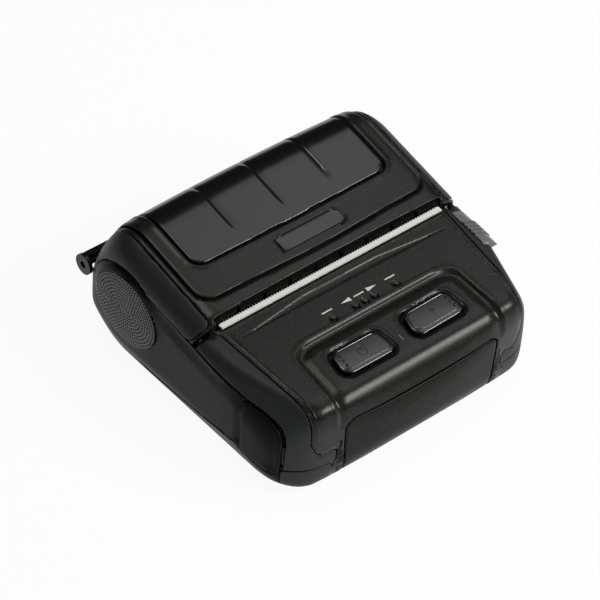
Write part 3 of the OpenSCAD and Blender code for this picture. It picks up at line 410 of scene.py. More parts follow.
print("a rim of 1 mm:", rim(1))

# %% From a mesh to a piece
FINE_CREASE, CREASE = math.radians(35), math.radians(50)

def to_object(bm, name, material, body, replaces=(), smooth=CREASE):
    """Finishes a mesh in millimetres as a piece in metres that rides on a body."""
    bmesh.ops.scale(bm, vec=(MM, MM, MM), verts=bm.verts)
    mesh = bpy.data.meshes.new(name)
    bm.to_mesh(mesh)
    bm.free()
    for polygon in mesh.polygons:
        polygon.use_smooth = True
    if smooth:
        mesh.set_sharp_from_angle(angle=smooth)
    piece = bpy.data.objects.new(name, mesh)
    bpy.context.scene.collection.objects.link(piece)
    mesh.materials.append(material)
    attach(piece, body)
    if replaces:
        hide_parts(*replaces)
    return piece


def add_wall(piece, thickness):
    """Gives a skin its thickness, inwards from its outer face."""
    wall = piece.modifiers.new("wall", "SOLIDIFY")
    wall.thickness, wall.offset = thickness * MM, -1

print("edges sharper than", round(math.degrees(CREASE)), "degrees stay sharp")

# %% Skins cut from a blank
FAR_OUTSIDE = -5

def skin(source, form, region, reliefs=(), sink=0.0, edge=0.5, fine=None):
    """A shell cut out of a blank: the region is positive inside, and its edge is rounded."""
    bm = source.copy()
    centres = np.array([f.calc_center_median() for f in bm.faces])
    away = region(centres) < FAR_OUTSIDE
    bmesh.ops.delete(bm, geom=[f for f, gone in zip(bm.faces, away) if gone], context="FACES")
    outline = Relief(region, rim(edge), fine=fine)
    for relief in (*reliefs, outline):
        relief.cut(bm)
    centres = np.array([f.calc_center_median() for f in bm.faces])
    gone = region(centres) < 0
    bmesh.ops.delete(bm, geom=[f for f, out in zip(bm.faces, gone) if out], context="FACES")
    p = points_of(bm)
    for _ in range(2):
        slope = slope_of(form, p)
        p = p - slope * (form(p) / (slope ** 2).sum(1))[:, None]
    slope = slope_of(form, p)
    slope /= np.linalg.norm(slope, axis=1)[:, None]
    height = sum((relief.height(p) for relief in (*reliefs, outline)), np.full(len(p), -sink))
    put_points(bm, p + slope * height[:, None])
    bmesh.ops.recalc_face_normals(bm, faces=bm.faces)
    slopes = [Vector(slope[f.verts[0].index]) for f in bm.faces]
    if np.mean([f.normal.dot(s) for f, s in zip(bm.faces, slopes)]) < 0:
        bmesh.ops.reverse_faces(bm, faces=bm.faces)
    return bm


def add_skin(name, material, body, form_and_blank, region, slot, replaces=(), thickness=1.6, **shape):
    form, source = form_and_blank
    bm = skin(source, form, region, **shape)
    piece = to_object(bm, name, material, body, replaces)
    add_wall(piece, thickness)
    print(name, len(piece.data.polygons), "faces")
    return piece

CASE, LID = (case_form, case_blank), (lid_form, lid_blank)
print("a skin follows the case or the lid")

# %% [markdown]
# ## Where the shells meet
# Each field below is positive inside its own part of the printer, in millimetres from its border. One
# field serves both of the shells that meet at a seam, so their edges follow the same line and only the
# gap between them is set apart. A seam drawn twice would open and close along its way.

# %% Borders
# The parting line, seen from the side: up behind the port cover, along the flank and over the pod
PARTING = [(FRONT - 8, 25), (-60.5, 25), (-60.3, 28), (-59.3, 31), (-57, 33.8), (-52.3, 35.6),
           (-46.8, 37.2), (-40.8, 38.3), (-24.7, 42.2), (-8.4, 44.9)]
PARTING += [(POD_AT[0] + (POD_R[0] + 0.8) * math.cos(math.radians(a)),
             POD_AT[1] + (POD_R[1] + 0.8) * math.sin(math.radians(a))) for a in range(127, 6, -4)]
PARTING += [(REAR, 31), (REAR + 8, 31)]
ABOVE = np.array(PARTING + [(REAR + 8, 90), (FRONT - 8, 90)])
# Everything behind the split between the front housing and the lid
BEHIND = np.array([(-7, 20), (-7, 44.5), (-11, 51.5), (-12, 60), (-12, 95), (95, 95), (95, 20)])
# The front housing and the battery's face seen from the front, and the port cover from the side
HOUSING = rounded([(PANEL_HALF, 95), (-PANEL_HALF, 95), (-PANEL_HALF, 37), (-54, 20.6), (54, 20.6),
                   (PANEL_HALF, 37)], [0, 0, 30, 4, 4, 30])
FACE = rounded([(41.9, 33.2), (-41.9, 33.2), (-40, -1), (40, -1)], [4.5, 4.5, 0, 0])
PORT = rounded([(-39, 11), (-39, 38.4), (-52.4, 35.2), (-56.8, 32.8), (-59.2, 30), (-60, 26), (-60, 11)],
               [2, 1.5, 4, 3, 3, 3, 3])
# Inner end of the corner guards, the plane behind them, their top, and the paper exit
LEG_X, CORNER_Y, GUARD_TOP, EXIT_Y = 45.0, FRONT + 12.5, 13.6, -9.2
SEAM, NOWHERE = 0.15, -50
print("parting line:", len(PARTING), "points")

# %% Fields of the shells
above = lambda p: -outside(ABOVE, p[:, 1], p[:, 2])
behind = lambda p: -outside(BEHIND, p[:, 1], p[:, 2])
panel_s = lambda p: on_slope(p[:, 1], p[:, 2], PANEL_Y, PANEL_Z, PANEL_TILT)[0]
# How far a point lies inside the panel's side edges, which draw together towards the front
inside_panel = lambda p: PANEL_HALF - TAPER * np.clip((PANEL_Y - p[:, 1]) / 48, 0, 1) - abs(p[:, 0])


def smallest(*fields, k=1e-6):
    """The field of what lies inside all of these, with its corners rounded over k."""
    def field(p):
        values = [f(p) for f in fields]
        result = values[0]
        for value in values[1:]:
            result = blend_min(result, value, k)
        return result
    return field


def housing(p):
    """The black front: positive inside the line that the rubber bumpers leave open."""
    return np.minimum(-outside(HOUSING, p[:, 0], p[:, 2]), inside_panel(p)) - 200 * (p[:, 1] > 0)


def corner(p):
    return np.minimum(np.minimum(abs(p[:, 0]) - LEG_X, p[:, 2] - GUARD_TOP), CORNER_Y - p[:, 1])


def bumper(p):
    upper = np.minimum(above(p), -behind(p) - 1.6)
    return blend_min(np.maximum(upper, corner(p)), -housing(p), 2.0)


def battery_face(p):
    face = np.minimum(-outside(FACE, p[:, 0], p[:, 2]), -59.7 - p[:, 1])
    return np.where(p[:, 1] < -20, face, NOWHERE)


def port(p):
    return np.where(p[:, 0] < 0, -outside(PORT, p[:, 1], p[:, 2]), NOWHERE)

print("bumper at its middle:", bumper(np.array([(-66.0, -53.0, 30.0)])).round(1), "mm inside")

# %% [markdown]
# ## Finishes
# Moulded plastic is never one flat colour: a slow noise shifts the tone, a fine one roughens it, and a
# few coarse grains are bumped and painted a lighter warm colour, a painted glint that stands in for
# sparkle. Metals get a brushed grain, and boards get copper tracks. One function makes them all,
# because what tells the blacks apart is mostly how much they shine.

# %% A finish
CLOUDS, GRAINS = 60, 1500
# The coarse grains get this lighter, warm colour in the base colour: a painted glint standing in for sparkle.
GLINT_SPECK_COLOUR, GLINT_SPECK_SHARE, GRAIN_HEIGHT = (0.07, 0.06, 0.045), 0.25, 0.00004
ROUGH_SWING = 0.07

def finish(name, colour, rough, grain=0.3, spread=0.15, scale=2600, stretch=None, sparkle=0.0, shine=0.5,
           **sockets):
    paint = Paint(name)
    slow = paint.noise(CLOUDS, 3)
    fine = paint.noise(scale, 2, stretch)
    tone = paint.mix(slow, tuple(c * (1 - spread) for c in colour), tuple(c * (1 + spread) for c in colour))
    height = fine
    if sparkle:
        spots = paint.noise(GRAINS, 1)
        height = fine + spots * sparkle
        # Besides their bump, the coarse grains are mixed into the base colour in a lighter tone, as painted glints.
        tone = paint.mix(spots.above(0.6) * GLINT_SPECK_SHARE, tone, GLINT_SPECK_COLOUR)
    paint.set(Base_Color=tone, Roughness=rough - ROUGH_SWING + 2 * ROUGH_SWING * fine,
              Specular_IOR_Level=shine, **sockets)
    paint.bump(height, GRAIN_HEIGHT, grain)
    paint.tone = tone
    return paint

BLACK_TONE = (0.0075, 0.0073, 0.0067)
BLACK = finish("shell_black", BLACK_TONE, 0.3, sparkle=1.2, shine=0.25).material
print("made", BLACK.name, "with", len(BLACK.node_tree.nodes), "nodes")

# %% [markdown]
# ## Marks on the panel and the keys
# The real ones are printed on the panel and moulded into the keys. They are drawn as masks here: each
# mark is a distance in millimetres, cut off at its own width, so it stays sharp at any size and needs
# no picture. The panel's marks are plain bars and wedges, and a faint light tick between the keys is a
# painted highlight that stands in for a small moulded relief.

# %% Marks
KEY_AT = (19, -40)

def panel_black():
    """The front housing: its printed marks are plain bars and two wedges beside the battery lights, and a faint
    light tick between the keys is a painted highlight for a small moulded relief.
    """
    paint = finish("satin_black", BLACK_TONE, 0.3, sparkle=1.2, shine=0.25)
    x, y, z = paint.place_mm()
    row = abs(y + 27.4)
    wedge = (abs(x) - 4.4).above(0) * ((9.6 - abs(x)) * 0.2 - row).above(0)
    bars = (2.7 - abs(abs(x) - 17)).above(0) + (2.6 - abs(x)).above(0)
    # A painted highlight: this faint light tick between the keys stands in for the lit edges of a small moulded
    # relief.
    relief_tick_highlight = (0.25 - abs(x)).above(0) * (1.4 - abs(y + 54.2)).above(0) * 0.2
    bar = bars * (0.32 - row).above(0)
    shown = ((wedge + bar + relief_tick_highlight) * (z - 40).above(0, 1)).clip()
    paint.set(Base_Color=paint.mix(shown, paint.tone, (0.6, 0.6, 0.58)))
    return paint.material


def key_face():
    """The keys' flat faces carry a plain power ring and a plain arrow, both dark."""
    paint = finish("key_face", (0.020, 0.022, 0.027), 0.3, 0.1)
    x, y, z = paint.place_mm()
    v = y + 51.8
    u = x + KEY_AT[0]
    ring = (0.3 - abs((u * u + v * v) ** 0.5 - 1.9)).above(0)
    gap = (0.75 - abs(u)).above(0) * v.above(0)
    stem = (0.28 - abs(u)).above(0) * (1.2 - abs(v - 1.3)).above(0)
    u = x - KEY_AT[0]
    head = (0.32 - abs(v - 1.6 + abs(u))).above(0) * (1.7 - abs(u)).above(0)
    post = (0.3 - abs(u)).above(0) * (1.3 - abs(v + 0.5)).above(0)
    mark = (ring * (1 - gap) + stem + head + post).clip()
    paint.set(Base_Color=paint.mix(mark, paint.tone, (0.003, 0.003, 0.003)))
    paint.bump(1 - mark, 0.0002, 0.6)
    return paint.material

PANEL, KEY_FACE = panel_black(), key_face()
print("marked:", PANEL.name, "and", KEY_FACE.name)

# %% Board
def board_green():
    paint = finish("board", (0.02, 0.11, 0.045), 0.3, 0.1, Coat_Weight=0.4)
    tracks = paint.node("ShaderNodeTexBrick", {"offset": 0.35}, Vector=paint.place, Scale=260.0, Mortar_Size=0.06,
                        Color1=(0, 0, 0, 1), Color2=(0, 0, 0, 1), Mortar=(1, 1, 1, 1))
    lines = paint.node("ShaderNodeSeparateXYZ", {}, tracks)
    paint.set(Base_Color=paint.mix(lines, paint.tone, (0.05, 0.22, 0.09)))
    return paint.material

BOARD = board_green()
print("made", BOARD.name)

# %% The printer's plastics and rubbers
LOWER = finish("lower_black", (0.0052, 0.005, 0.0043), 0.4, sparkle=0.6, shine=0.08).material
BATTERY = finish("battery_black", (0.006, 0.0058, 0.0052), 0.36, sparkle=0.8, shine=0.1).material
RUBBER = finish("slate_rubber", (0.0175, 0.020, 0.0215), 0.5, 0.2, shine=0.28).material
PORT_RUBBER = finish("port_rubber", (0.003, 0.003, 0.0026), 0.5, 0.2, shine=0.1).material
GLASSY = finish("smoked_panel", (0.006, 0.006, 0.006), 0.2, 0.02, shine=0.42).material
KEY_RIM = finish("key_rim", (0.006, 0.006, 0.007), 0.2, 0.05, shine=0.6).material
GRILLE = finish("grille_black", (0.022, 0.022, 0.020), 0.35, 0.2, shine=0.4).material
LEVER = finish("lever_grey", (0.13, 0.13, 0.132), 0.4, 0.2, shine=0.4).material
BADGE_GREY = finish("badge_grey", (0.045, 0.045, 0.05), 0.4, 0.3, scale=900, stretch=(0.05, 1, 1),
                    Metallic=0.3).material
print("the hard blacks, from dull to bright:", LOWER.name, BATTERY.name, BLACK.name)

# %% Finishes on the frame's pieces
SLOTS = {
    "black_shell": BLACK, "lower_shell": LOWER, "rubber_skin": RUBBER, "port_rubber": PORT_RUBBER,
    "smoked_panel": GLASSY, "key_plastic": KEY_FACE, "lever_plastic": LEVER, "badge_metal": BADGE_GREY,
    "board": BOARD,
    "steel": finish("steel", (0.62, 0.63, 0.64), 0.3, 0.3, 0.08, 1400, (0.04, 1, 1), Metallic=1.0).material,
    "cast_metal": finish("cast_metal", (0.5, 0.51, 0.53), 0.5, 0.6, 0.1, 900, Metallic=1.0).material,
    "brass": finish("brass", (0.75, 0.58, 0.28), 0.25, 0.2, 0.08, Metallic=1.0).material,
    "gear_plastic": finish("acetal", (0.78, 0.76, 0.7), 0.4, 0.2, 0.04).material,
    "inner_plastic": finish("inner_plastic", (0.05, 0.052, 0.055), 0.5, 0.4).material,
    "platen_rubber": finish("platen_rubber", (0.07, 0.07, 0.075), 0.6, 0.5, 0.1, 1800).material,
    "ceramic": finish("ceramic", (0.82, 0.81, 0.77), 0.15, 0.05, 0.03, Coat_Weight=0.5).material,
    "light_pipe": finish("smoked_lens", (0.008, 0.009, 0.008), 0.25, 0.02, shine=0.4).material,
    "cell_wrap": finish("cell_wrap", (0.05, 0.15, 0.38), 0.22, 0.1, 0.08, Coat_Weight=0.5).material,
}
SPECIAL = {
    # The tear bar is steel, and its near-white colour is a painted highlight that stands in for the metal's bright
    # glint.
    "tear_bar": finish("tear_steel_painted_glint", (0.96, 0.96, 0.95), 0.42, 0.05, 0.02, Metallic=0.35).material,
    "hinge_rod": finish("dark_rod", (0.05, 0.05, 0.05), 0.3, 0.1, Metallic=0.8).material,
}
for name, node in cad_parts.items():
    for place in node.material_slots:
        place.material = SPECIAL.get(name, SLOTS[place.material.name.split(".")[0]])
print(len(SLOTS), "finishes on", len(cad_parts), "nodes")

# %% [markdown]
# ## Shells with their insides
# A moulded shell is one piece: the skin outside, and the ribs, bosses and knuckles of the CAD node
# inside. The node's mesh is copied and merged, and its outer faces, which the skin stands for, go.

# %% Ribs from the frame
RIB_DEPTH = 1.35

def add_inside(piece, node, form, depth=RIB_DEPTH):
    """Adds to a skin what its CAD node has deeper than this under the form."""
    depsgraph = bpy.context.evaluated_depsgraph_get()
    made = bpy.data.meshes.new_from_object(piece.evaluated_get(depsgraph))
    piece.modifiers.remove(piece.modifiers["wall"])
    piece.data = made
    bm = bmesh.new()
    bm.from_mesh(piece.data)
    ribs = bmesh.new()
    ribs.from_mesh(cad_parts[node].data)
    bmesh.ops.remove_doubles(ribs, verts=ribs.verts, dist=1e-6)
    bmesh.ops.transform(ribs, matrix=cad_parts[node].matrix_world, verts=ribs.verts)
    deep = form(points_of(ribs) * 1000) < -depth
    ribs.verts.index_update()
    outer = [f for f in ribs.faces if not all(deep[v.index] for v in f.verts)]
    bmesh.ops.delete(ribs, geom=outer, context="FACES")
    inner = bpy.data.meshes.new(node + "_ribs")
    ribs.to_mesh(inner)
    ribs.free()
    count = len(bm.faces)
    bm.from_mesh(inner)
    for f in list(bm.faces)[count:]:
        f.smooth, f.material_index = True, 0
    bm.to_mesh(piece.data)
    bm.free()
    piece.data.set_sharp_from_angle(angle=FINE_CREASE)
    print(node, "ribs:", len(inner.polygons), "faces")

print("ribs start", RIB_DEPTH, "mm under the form")

# %% [markdown]
# ## Lower case
# The real lower case is one moulded tub with a bulged pod on each side. Its skin is everything below
# the parting line, less the battery's window and the hole for the sockets. A raised bead runs low
# along each side and fades out under the pod, and the wall above it is scooped out ahead of the pod.
# Both are reliefs, because a relief follows the form wherever it bends.

# %% Fields of the lower case
SOCKETS = rounded([(-42.8, 22.3), (-42.8, 31.3), (-58, 31.3), (-58, 22.3)], 1)
GRILLE_AT, GRILLE_R = (33.8, 33.2), (19.4, 16.4)
BEAD_Y, BEAD_Z = (-34, -22, 0, 20, 31), (12.8, 11.6, 8.5, 6.4, 6.9)
CHIN_Z = 20.6

guard_all = lambda p: np.minimum(abs(p[:, 0]) - LEG_X, CORNER_Y - p[:, 1] + 0.8)
guard = lambda p: np.minimum(guard_all(p), GUARD_TOP - p[:, 2])
grille_spot = lambda p: -outside(ellipse(GRILLE_AT, GRILLE_R), p[:, 1], p[:, 2]) - 50 * (abs(p[:, 0]) < 40)
bead = lambda p: p[:, 2] - np.interp(p[:, 1], BEAD_Y, BEAD_Z)
bead_fade = lambda p: np.clip((32 - p[:, 1]) / 10, 0, 1) * np.clip((p[:, 1] + 38) / 3, 0, 1) * (abs(p[:, 0]) > 55)
scoop_fade = lambda p: (np.clip((19 - p[:, 1]) / 20, 0, 1) * np.clip((p[:, 1] + 38) / 34, 0, 1)) ** 0.7


def lower_region(p):
    sockets = np.where(p[:, 0] < 0, outside(SOCKETS, p[:, 1], p[:, 2]), -NOWHERE)
    front = np.maximum(np.maximum(abs(p[:, 0]) - LEG_X + 3, CHIN_Z - p[:, 2]), p[:, 1] - CORNER_Y)
    return np.minimum(np.minimum(-above(p) - SEAM, sockets), np.minimum(-battery_face(p) - SEAM, front))

print("bead from", min(BEAD_Z), "to", max(BEAD_Z), "mm above the table")

# %% Lower case skin
POCKET = [(-0.45, 0), (-0.2, -0.12), (0, -0.5), (0.12, -1.5)]
GRILLE_SEAT = [(-0.3, 0), (0, -0.3), (0.1, -1.2)]
BEAD = [(-1.6, 0), (-0.8, 0.3), (-0.15, 0.3), (0.1, -0.15), (0.7, 0)]
SCOOP = [(0.9, 0), (1.3, -0.3), (2.0, -0.8), (4.0, -0.8), (8, 0)]
lower_case = add_skin(
    "lower_case_shell", LOWER, "base", CASE, lower_region, "lower_shell", ["lower_case"], thickness=2.0,
    reliefs=[Relief(guard_all, POCKET), Relief(port, POCKET), Relief(grille_spot, GRILLE_SEAT),
             Relief(bead, BEAD, bead_fade), Relief(lambda p: -above(p), SCOOP, scoop_fade)])
add_inside(lower_case, "lower_case", case_form)

# %% [markdown]
# ## Front housing
# The front housing carries the sloping control panel. A wide moat runs round the panel, each key lies
# in a recess with a soft rim, and a leaf-shaped scoop behind the keys holds the row of lights. They
# could be cut with booleans, but those leave hard edges. As reliefs they keep the soft edges that a
# mould gives, and `fine` divides the mesh near a line that has to be smooth.

# %% Fields of the panel
RECESS = rounded([(38, -23.4), (-38, -23.4), (-43.6, -28), (-46, -75), (46, -75), (43.6, -28)],
                 [16, 16, 7, 0, 0, 7])
LEAF = rounded([(56.3, -7.6), (20, -3.6), (-20, -3.3), (-54.7, -7.2), (-20, -7.3), (20, -7.5)],
               [0, 30, 30, 0, 60, 60])
LIGHTS, LIGHT_S, LIGHT_R = (-17, -5, 0, 5, 17), -19.6, 1.75
KEY_SIZE = (27, 13.6)

ridge_fade = lambda p: np.clip((-11 - p[:, 1]) / 3, 0, 1) * np.clip((p[:, 2] - 30) / 8, 0, 1)
recess = lambda p: -outside(RECESS, p[:, 0], panel_s(p)) - 50 * (p[:, 2] < 18)
recess_fade = lambda p: np.clip((p[:, 2] - 30) / 12, 0, 1)
leaf = lambda p: -outside(LEAF, p[:, 0], panel_s(p)) - 50 * (p[:, 2] < 40)


def key_outline(grow):
    w, d = KEY_SIZE[0] / 2, KEY_SIZE[1] / 2
    corners = [(w - 1.2, d + 0.2), (-w + 1.2, d - 0.2), (-w - 0.9, -d - 0.2), (w + 0.9, -d + 0.3)]
    return rounded(corners, 4.2) * (1 + grow / 9) + np.array(KEY_AT)


def keys(p):
    return np.where(p[:, 2] > 20, -outside(key_outline(0), abs(p[:, 0]), panel_s(p)), NOWHERE)


def lights(p):
    away = np.min([np.hypot(p[:, 0] - x, panel_s(p) - LIGHT_S) for x in LIGHTS], axis=0)
    return np.where(p[:, 2] > 40, LIGHT_R - away, NOWHERE)


def housing_region(p):
    exit_edge = np.maximum(EXIT_Y - 0.7 - p[:, 1], abs(p[:, 0]) - PANEL_HALF)
    split = np.minimum(-behind(p) - SEAM, exit_edge)
    side_end = np.maximum(-13.2 - p[:, 1], PANEL_HALF + 1.6 - abs(p[:, 0]))
    body = np.minimum(np.minimum(above(p) - SEAM, side_end), split)
    strip = np.minimum(np.minimum(LEG_X + 3 - abs(p[:, 0]), CORNER_Y - p[:, 1]), p[:, 2] - 3)
    return np.minimum(np.maximum(np.maximum(body, corner(p)), strip), -battery_face(p) - SEAM)

print("panel marks:", len(LIGHTS), "lights and two keys of", KEY_SIZE, "mm")

# %% Front housing skin
MOAT = [(-2.2, 0), (-1.3, 0.12), (-0.5, 0.1), (0.2, -0.35), (1.1, -1.35), (2.0, -1.6), (3.0, -1.35),
        (4.6, -0.75), (6.5, -0.5)]
KEY_WELL = [(-3.2, 0), (-2.5, 0.14), (-1.9, 0.05), (-1.3, -0.5), (-0.4, -0.85), (-0.3, -2.0)]
LEAF_SCOOP = [(-0.3, 0), (0, -0.06), (0.25, -0.4), (0.8, -0.6), (2.2, -0.65)]
LIGHT_WELL = [(-0.5, 0), (-0.15, -0.08), (0.05, -0.7)]
RIDGES = [(0.5, 0), (0.9, 0.4), (1.3, 0), (1.7, 0), (2.1, 0.4), (2.6, 0)]
front_housing = add_skin(
    "front_housing_shell", PANEL, "base", CASE, housing_region, "black_shell", ["front_housing"],
    reliefs=[Relief(bumper, POCKET), Relief(recess, MOAT, recess_fade, fine=1.4),
             Relief(keys, KEY_WELL, fine=0.9), Relief(leaf, LEAF_SCOOP, fine=0.9),
             Relief(lights, LIGHT_WELL, fine=0.5), Relief(inside_panel, RIDGES, ridge_fade)])
add_inside(front_housing, "front_housing", case_form)

# %% [markdown]
# ## Bumpers, port cover and battery face
# The front corners are wrapped in slate rubber, with a separate guard low down, and a soft rubber
# cover closes the sockets on the left. The battery's face fills the window at the front. All are thin
# skins in pockets of the shells, which is how overmoulded rubber looks: flush, with a fine seam.

# %% Bumpers and guards
for side, name in ((-1, "left"), (1, "right")):
    on_side = lambda p: side * p[:, 0]
    add_skin(name + "_front_bumper_skin", RUBBER, "base", CASE, smallest(lambda p: bumper(p) - 0.18, on_side),
             "rubber_skin", [name + "_front_bumper"], edge=0.55, thickness=1.0, fine=1.1)
    add_skin(name + "_corner_guard", RUBBER, "base", CASE, smallest(lambda p: guard(p) - 0.1, on_side, k=1.0),
             "rubber_skin", thickness=1.0)

# %% Port cover and battery face
LIP = [(0.2, 0), (0.9, 0.35), (1.9, 0.35), (2.6, 0)]
lip_fade = lambda p: np.clip((-52 - p[:, 1]) / 4, 0, 1)
add_skin("port_cover_skin", PORT_RUBBER, "port_flap", CASE, lambda p: port(p) - SEAM, "port_rubber",
         ["port_cover"], reliefs=[Relief(port, LIP, lip_fade)], edge=0.9, sink=-0.5, fine=0.9)
add_skin("battery_face_skin", BATTERY, "battery", CASE, lambda p: battery_face(p) - 0.3, "black_shell",
         ["battery_face"], edge=0.9, sink=0.1, thickness=2.0, fine=1.1)

# %% [markdown]
# ## Lid
# The lid is a shell with a raised pad on top. A smoked, glossy window is let into the pad, with three
# shallow grooves, and a small plate lies in front of it. Each relief is cut only into the skin that
# carries it, which keeps the other meshes light.

# %% Fields of the lid
PAD = rounded([(61, 80), (-61, 80), (-61, -1.2), (0, -3.8), (61, -1.2)], [0, 0, 8, 300, 8])
WINDOW = rounded([(52, 85), (-52, 85), (-52, 14.3), (0, 12.9), (52, 14.3)], [0, 0, 6, 400, 6])
BADGE = rounded([(17.3, 8.4), (-15.7, 8.4), (-15.7, 1.4), (17.3, 1.4)], 0.7)
LID_LOW = 44
pad = lambda p: -outside(PAD, p[:, 0], p[:, 1]) - 50 * (p[:, 2] < LID_LOW)
window = lambda p: -outside(WINDOW, p[:, 0], p[:, 1]) - 50 * (p[:, 2] < LID_LOW)
badge = lambda p: -outside(BADGE, p[:, 0], p[:, 1])
strip = lambda p: blend_min(np.minimum(abs(p[:, 0]) - 63.6, above(p) - 0.1), behind(p) - 1.6, 2.5)
pad_region = smallest(lambda p: pad(p) - 0.5, lambda p: -0.35 - window(p), lambda p: REAR - p[:, 1])
groove = lambda p: np.min([abs(p[:, 0] - x) for x in (-26, 0, 26)], axis=0)
groove_fade = lambda p: np.clip((p[:, 1] - 18.5) / 8, 0, 1)


def lid_region(p):
    lip = np.maximum(p[:, 1] + 8.6, abs(p[:, 0]) - PANEL_HALF)
    return np.minimum(np.minimum(above(p) - SEAM, behind(p) - SEAM), lip)

print("badge:", BADGE.max(0) - BADGE.min(0), "mm")

# %% Lid frame
PAD_SEAT = [(-1.4, 0), (-0.9, -0.25), (-0.4, -0.5), (0.1, -1.6)]
lid_frame = add_skin(
    "lid_frame_shell", BLACK, "lid", LID, lid_region, "black_shell", ["lid_frame"], sink=0.3, thickness=2.0,
    reliefs=[Relief(strip, POCKET), Relief(pad, PAD_SEAT)])
add_inside(lid_frame, "lid_frame", lid_form, 1.7)

# %% Pad, window and badge
BADGE_SEAT, BADGE_RIM = [(-0.4, 0), (-0.1, -0.2), (0, -0.8)], [(0.3, 0.15), (0.6, 0.15), (0.75, -0.1)]
WINDOW_RIM = [(-3.0, 0), (-2.4, 0.25), (-1.7, 0.3), (-1.1, 0.1), (-0.6, -0.4)]
GROOVE = [(0.02, -0.4), (0.2, -0.3), (0.55, 0)]
add_skin("lid_pad_skin", BLACK, "lid", LID, pad_region, "black_shell", ["lid_pad"], edge=0.8, thickness=1.4,
         reliefs=[Relief(badge, BADGE_SEAT), Relief(window, WINDOW_RIM, fine=1.1)])
add_skin("lid_window_skin", GLASSY, "lid", LID, lambda p: window(p) - SEAM, "smoked_panel", ["lid_window"],
         edge=0.9, thickness=1.4, fine=1.1, reliefs=[Relief(groove, GROOVE, groove_fade)])
add_skin("badge_plate_skin", BADGE_GREY, "lid", LID, lambda p: badge(p) - 0.1, "badge_metal", ["badge_plate"],
         edge=0.25, thickness=1.0, fine=0.8, reliefs=[Relief(badge, BADGE_RIM)])

# %% Lid strips
for side, name in ((-1, "left_lid_strip"), (1, "right_lid_strip")):
    add_skin(name + "_skin", RUBBER, "lid", LID, smallest(lambda p: strip(p) - 0.18, lambda p: side * p[:, 0]),
             "rubber_skin", [name], edge=0.55, thickness=1.0)

# %% [markdown]
# ## Keys and grilles
# Each one starts as a flat outline. The keys are inset and raised step by step, which leaves a bevel
# and a fine groove round the face. The grilles are filled between their rim and rows of small holes.

# %% Keys
def on_panel(points, w):
    """Points (x, s) on the panel, w above it, in millimetres."""
    c, n = math.cos(PANEL_TILT), math.sin(PANEL_TILT)
    return [(x, PANEL_Y + s * c - w * n, PANEL_Z + s * n + w * c) for x, s in points]


KEY_FOOT, KEY_RISE = -1.9, 1.85
BEVEL = ((0.18, 0.16), (0.3, 0.1), (0.75, 0.12), (0.22, 0.06), (0.16, -0.12), (0.16, 0.0), (0.14, 0.1), (0.3, 0.04))
DOT_X, DOT_LEAN, DOT_PITCH, DOT_R = 28.9, 0.25, 2.5, 0.72

def add_key(name, side):
    """One key. Each step of the bevel is an inset and a rise, and three dots stand beside its face."""
    bm = bmesh.new()
    outline = key_outline(-0.25)[::2] * (side, 1)
    if side < 0:
        outline = outline[::-1]
    face = bm.faces.new([bm.verts.new(co) for co in on_panel(outline, KEY_FOOT)])
    if face.normal.z < 0:
        face.normal_flip()
    rise = Vector((0, -math.sin(PANEL_TILT), math.cos(PANEL_TILT)))
    grown = bmesh.ops.extrude_face_region(bm, geom=[face])["geom"]
    bmesh.ops.translate(bm, vec=rise * KEY_RISE, verts=[g for g in grown if isinstance(g, bmesh.types.BMVert)])
    face = next(g for g in grown if isinstance(g, bmesh.types.BMFace))
    for inset, depth in BEVEL:
        bmesh.ops.inset_region(bm, faces=[face], thickness=inset, depth=depth, use_even_offset=True)
    face.material_index = 1
    for k in (-1, 0, 1):
        spot = on_panel([(side * (DOT_X - DOT_LEAN * k), KEY_AT[1] + DOT_PITCH * k)], 0.45)[0]
        dot = bmesh.ops.create_uvsphere(bm, u_segments=14, v_segments=10, radius=DOT_R,
                                        matrix=Matrix.Translation(spot))
        bmesh.ops.scale(bm, vec=(1, 1, 0.7), space=Matrix.Translation(-Vector(spot)), verts=dot["verts"])
    bmesh.ops.recalc_face_normals(bm, faces=bm.faces)
    key = to_object(bm, name + "_cap", KEY_RIM, name.replace("button", "key"), [name],
                    smooth=FINE_CREASE)
    key.data.materials.append(KEY_FACE)
    print(name, len(key.data.polygons), "faces")

add_key("power_button", -1)
add_key("feed_button", 1)

# %% Grilles
ROWS, ROW_PITCH, HOLE_PITCH, HOLE_R = 10, 1.56, 1.42, 0.46
DOME = 0.45

def add_grille(name, side):
    """An oval plate filled between its rim and rows of holes, then domed."""
    bm = bmesh.new()
    centre, radii = np.array(GRILLE_AT), np.array(GRILLE_R) - 0.2
    rings = [ellipse(centre, radii, 72)]
    for k in range(ROWS):
        row = ellipse(centre, radii - 1.0 - ROW_PITCH * k, 240)
        length = np.concatenate([[0], np.cumsum(np.linalg.norm(np.diff(row, axis=0), axis=1))])
        spots = np.arange(0, length[-1] - 0.8, HOLE_PITCH)
        for at in np.stack([np.interp(spots, length, row[:, j]) for j in (0, 1)], axis=1):
            rings.append(ellipse(at, (HOLE_R, HOLE_R), 8))
    for ring in rings:
        verts = [bm.verts.new((side * (HALF + POD_RISE - 0.25), y, z)) for y, z in ring]
        for a, b in zip(verts, verts[1:] + verts[:1]):
            bm.edges.new((a, b))
    bmesh.ops.triangle_fill(bm, use_beauty=True, edges=bm.edges, normal=(side, 0, 0))
    for v in bm.verts:
        share = np.hypot(*((np.array((v.co.y, v.co.z)) - centre) / radii))
        v.co.x -= side * DOME * share ** 4
    if bm.faces[:][0].normal.x * side < 0:
        bmesh.ops.reverse_faces(bm, faces=bm.faces)
    piece = to_object(bm, name + "_mesh", GRILLE, "base", [name], smooth=None)
    add_wall(piece, 0.7)
    print(name, len(piece.data.polygons), "faces,", len(rings) - 1, "holes")

add_grille("left_grille", -1)
add_grille("right_grille", 1)

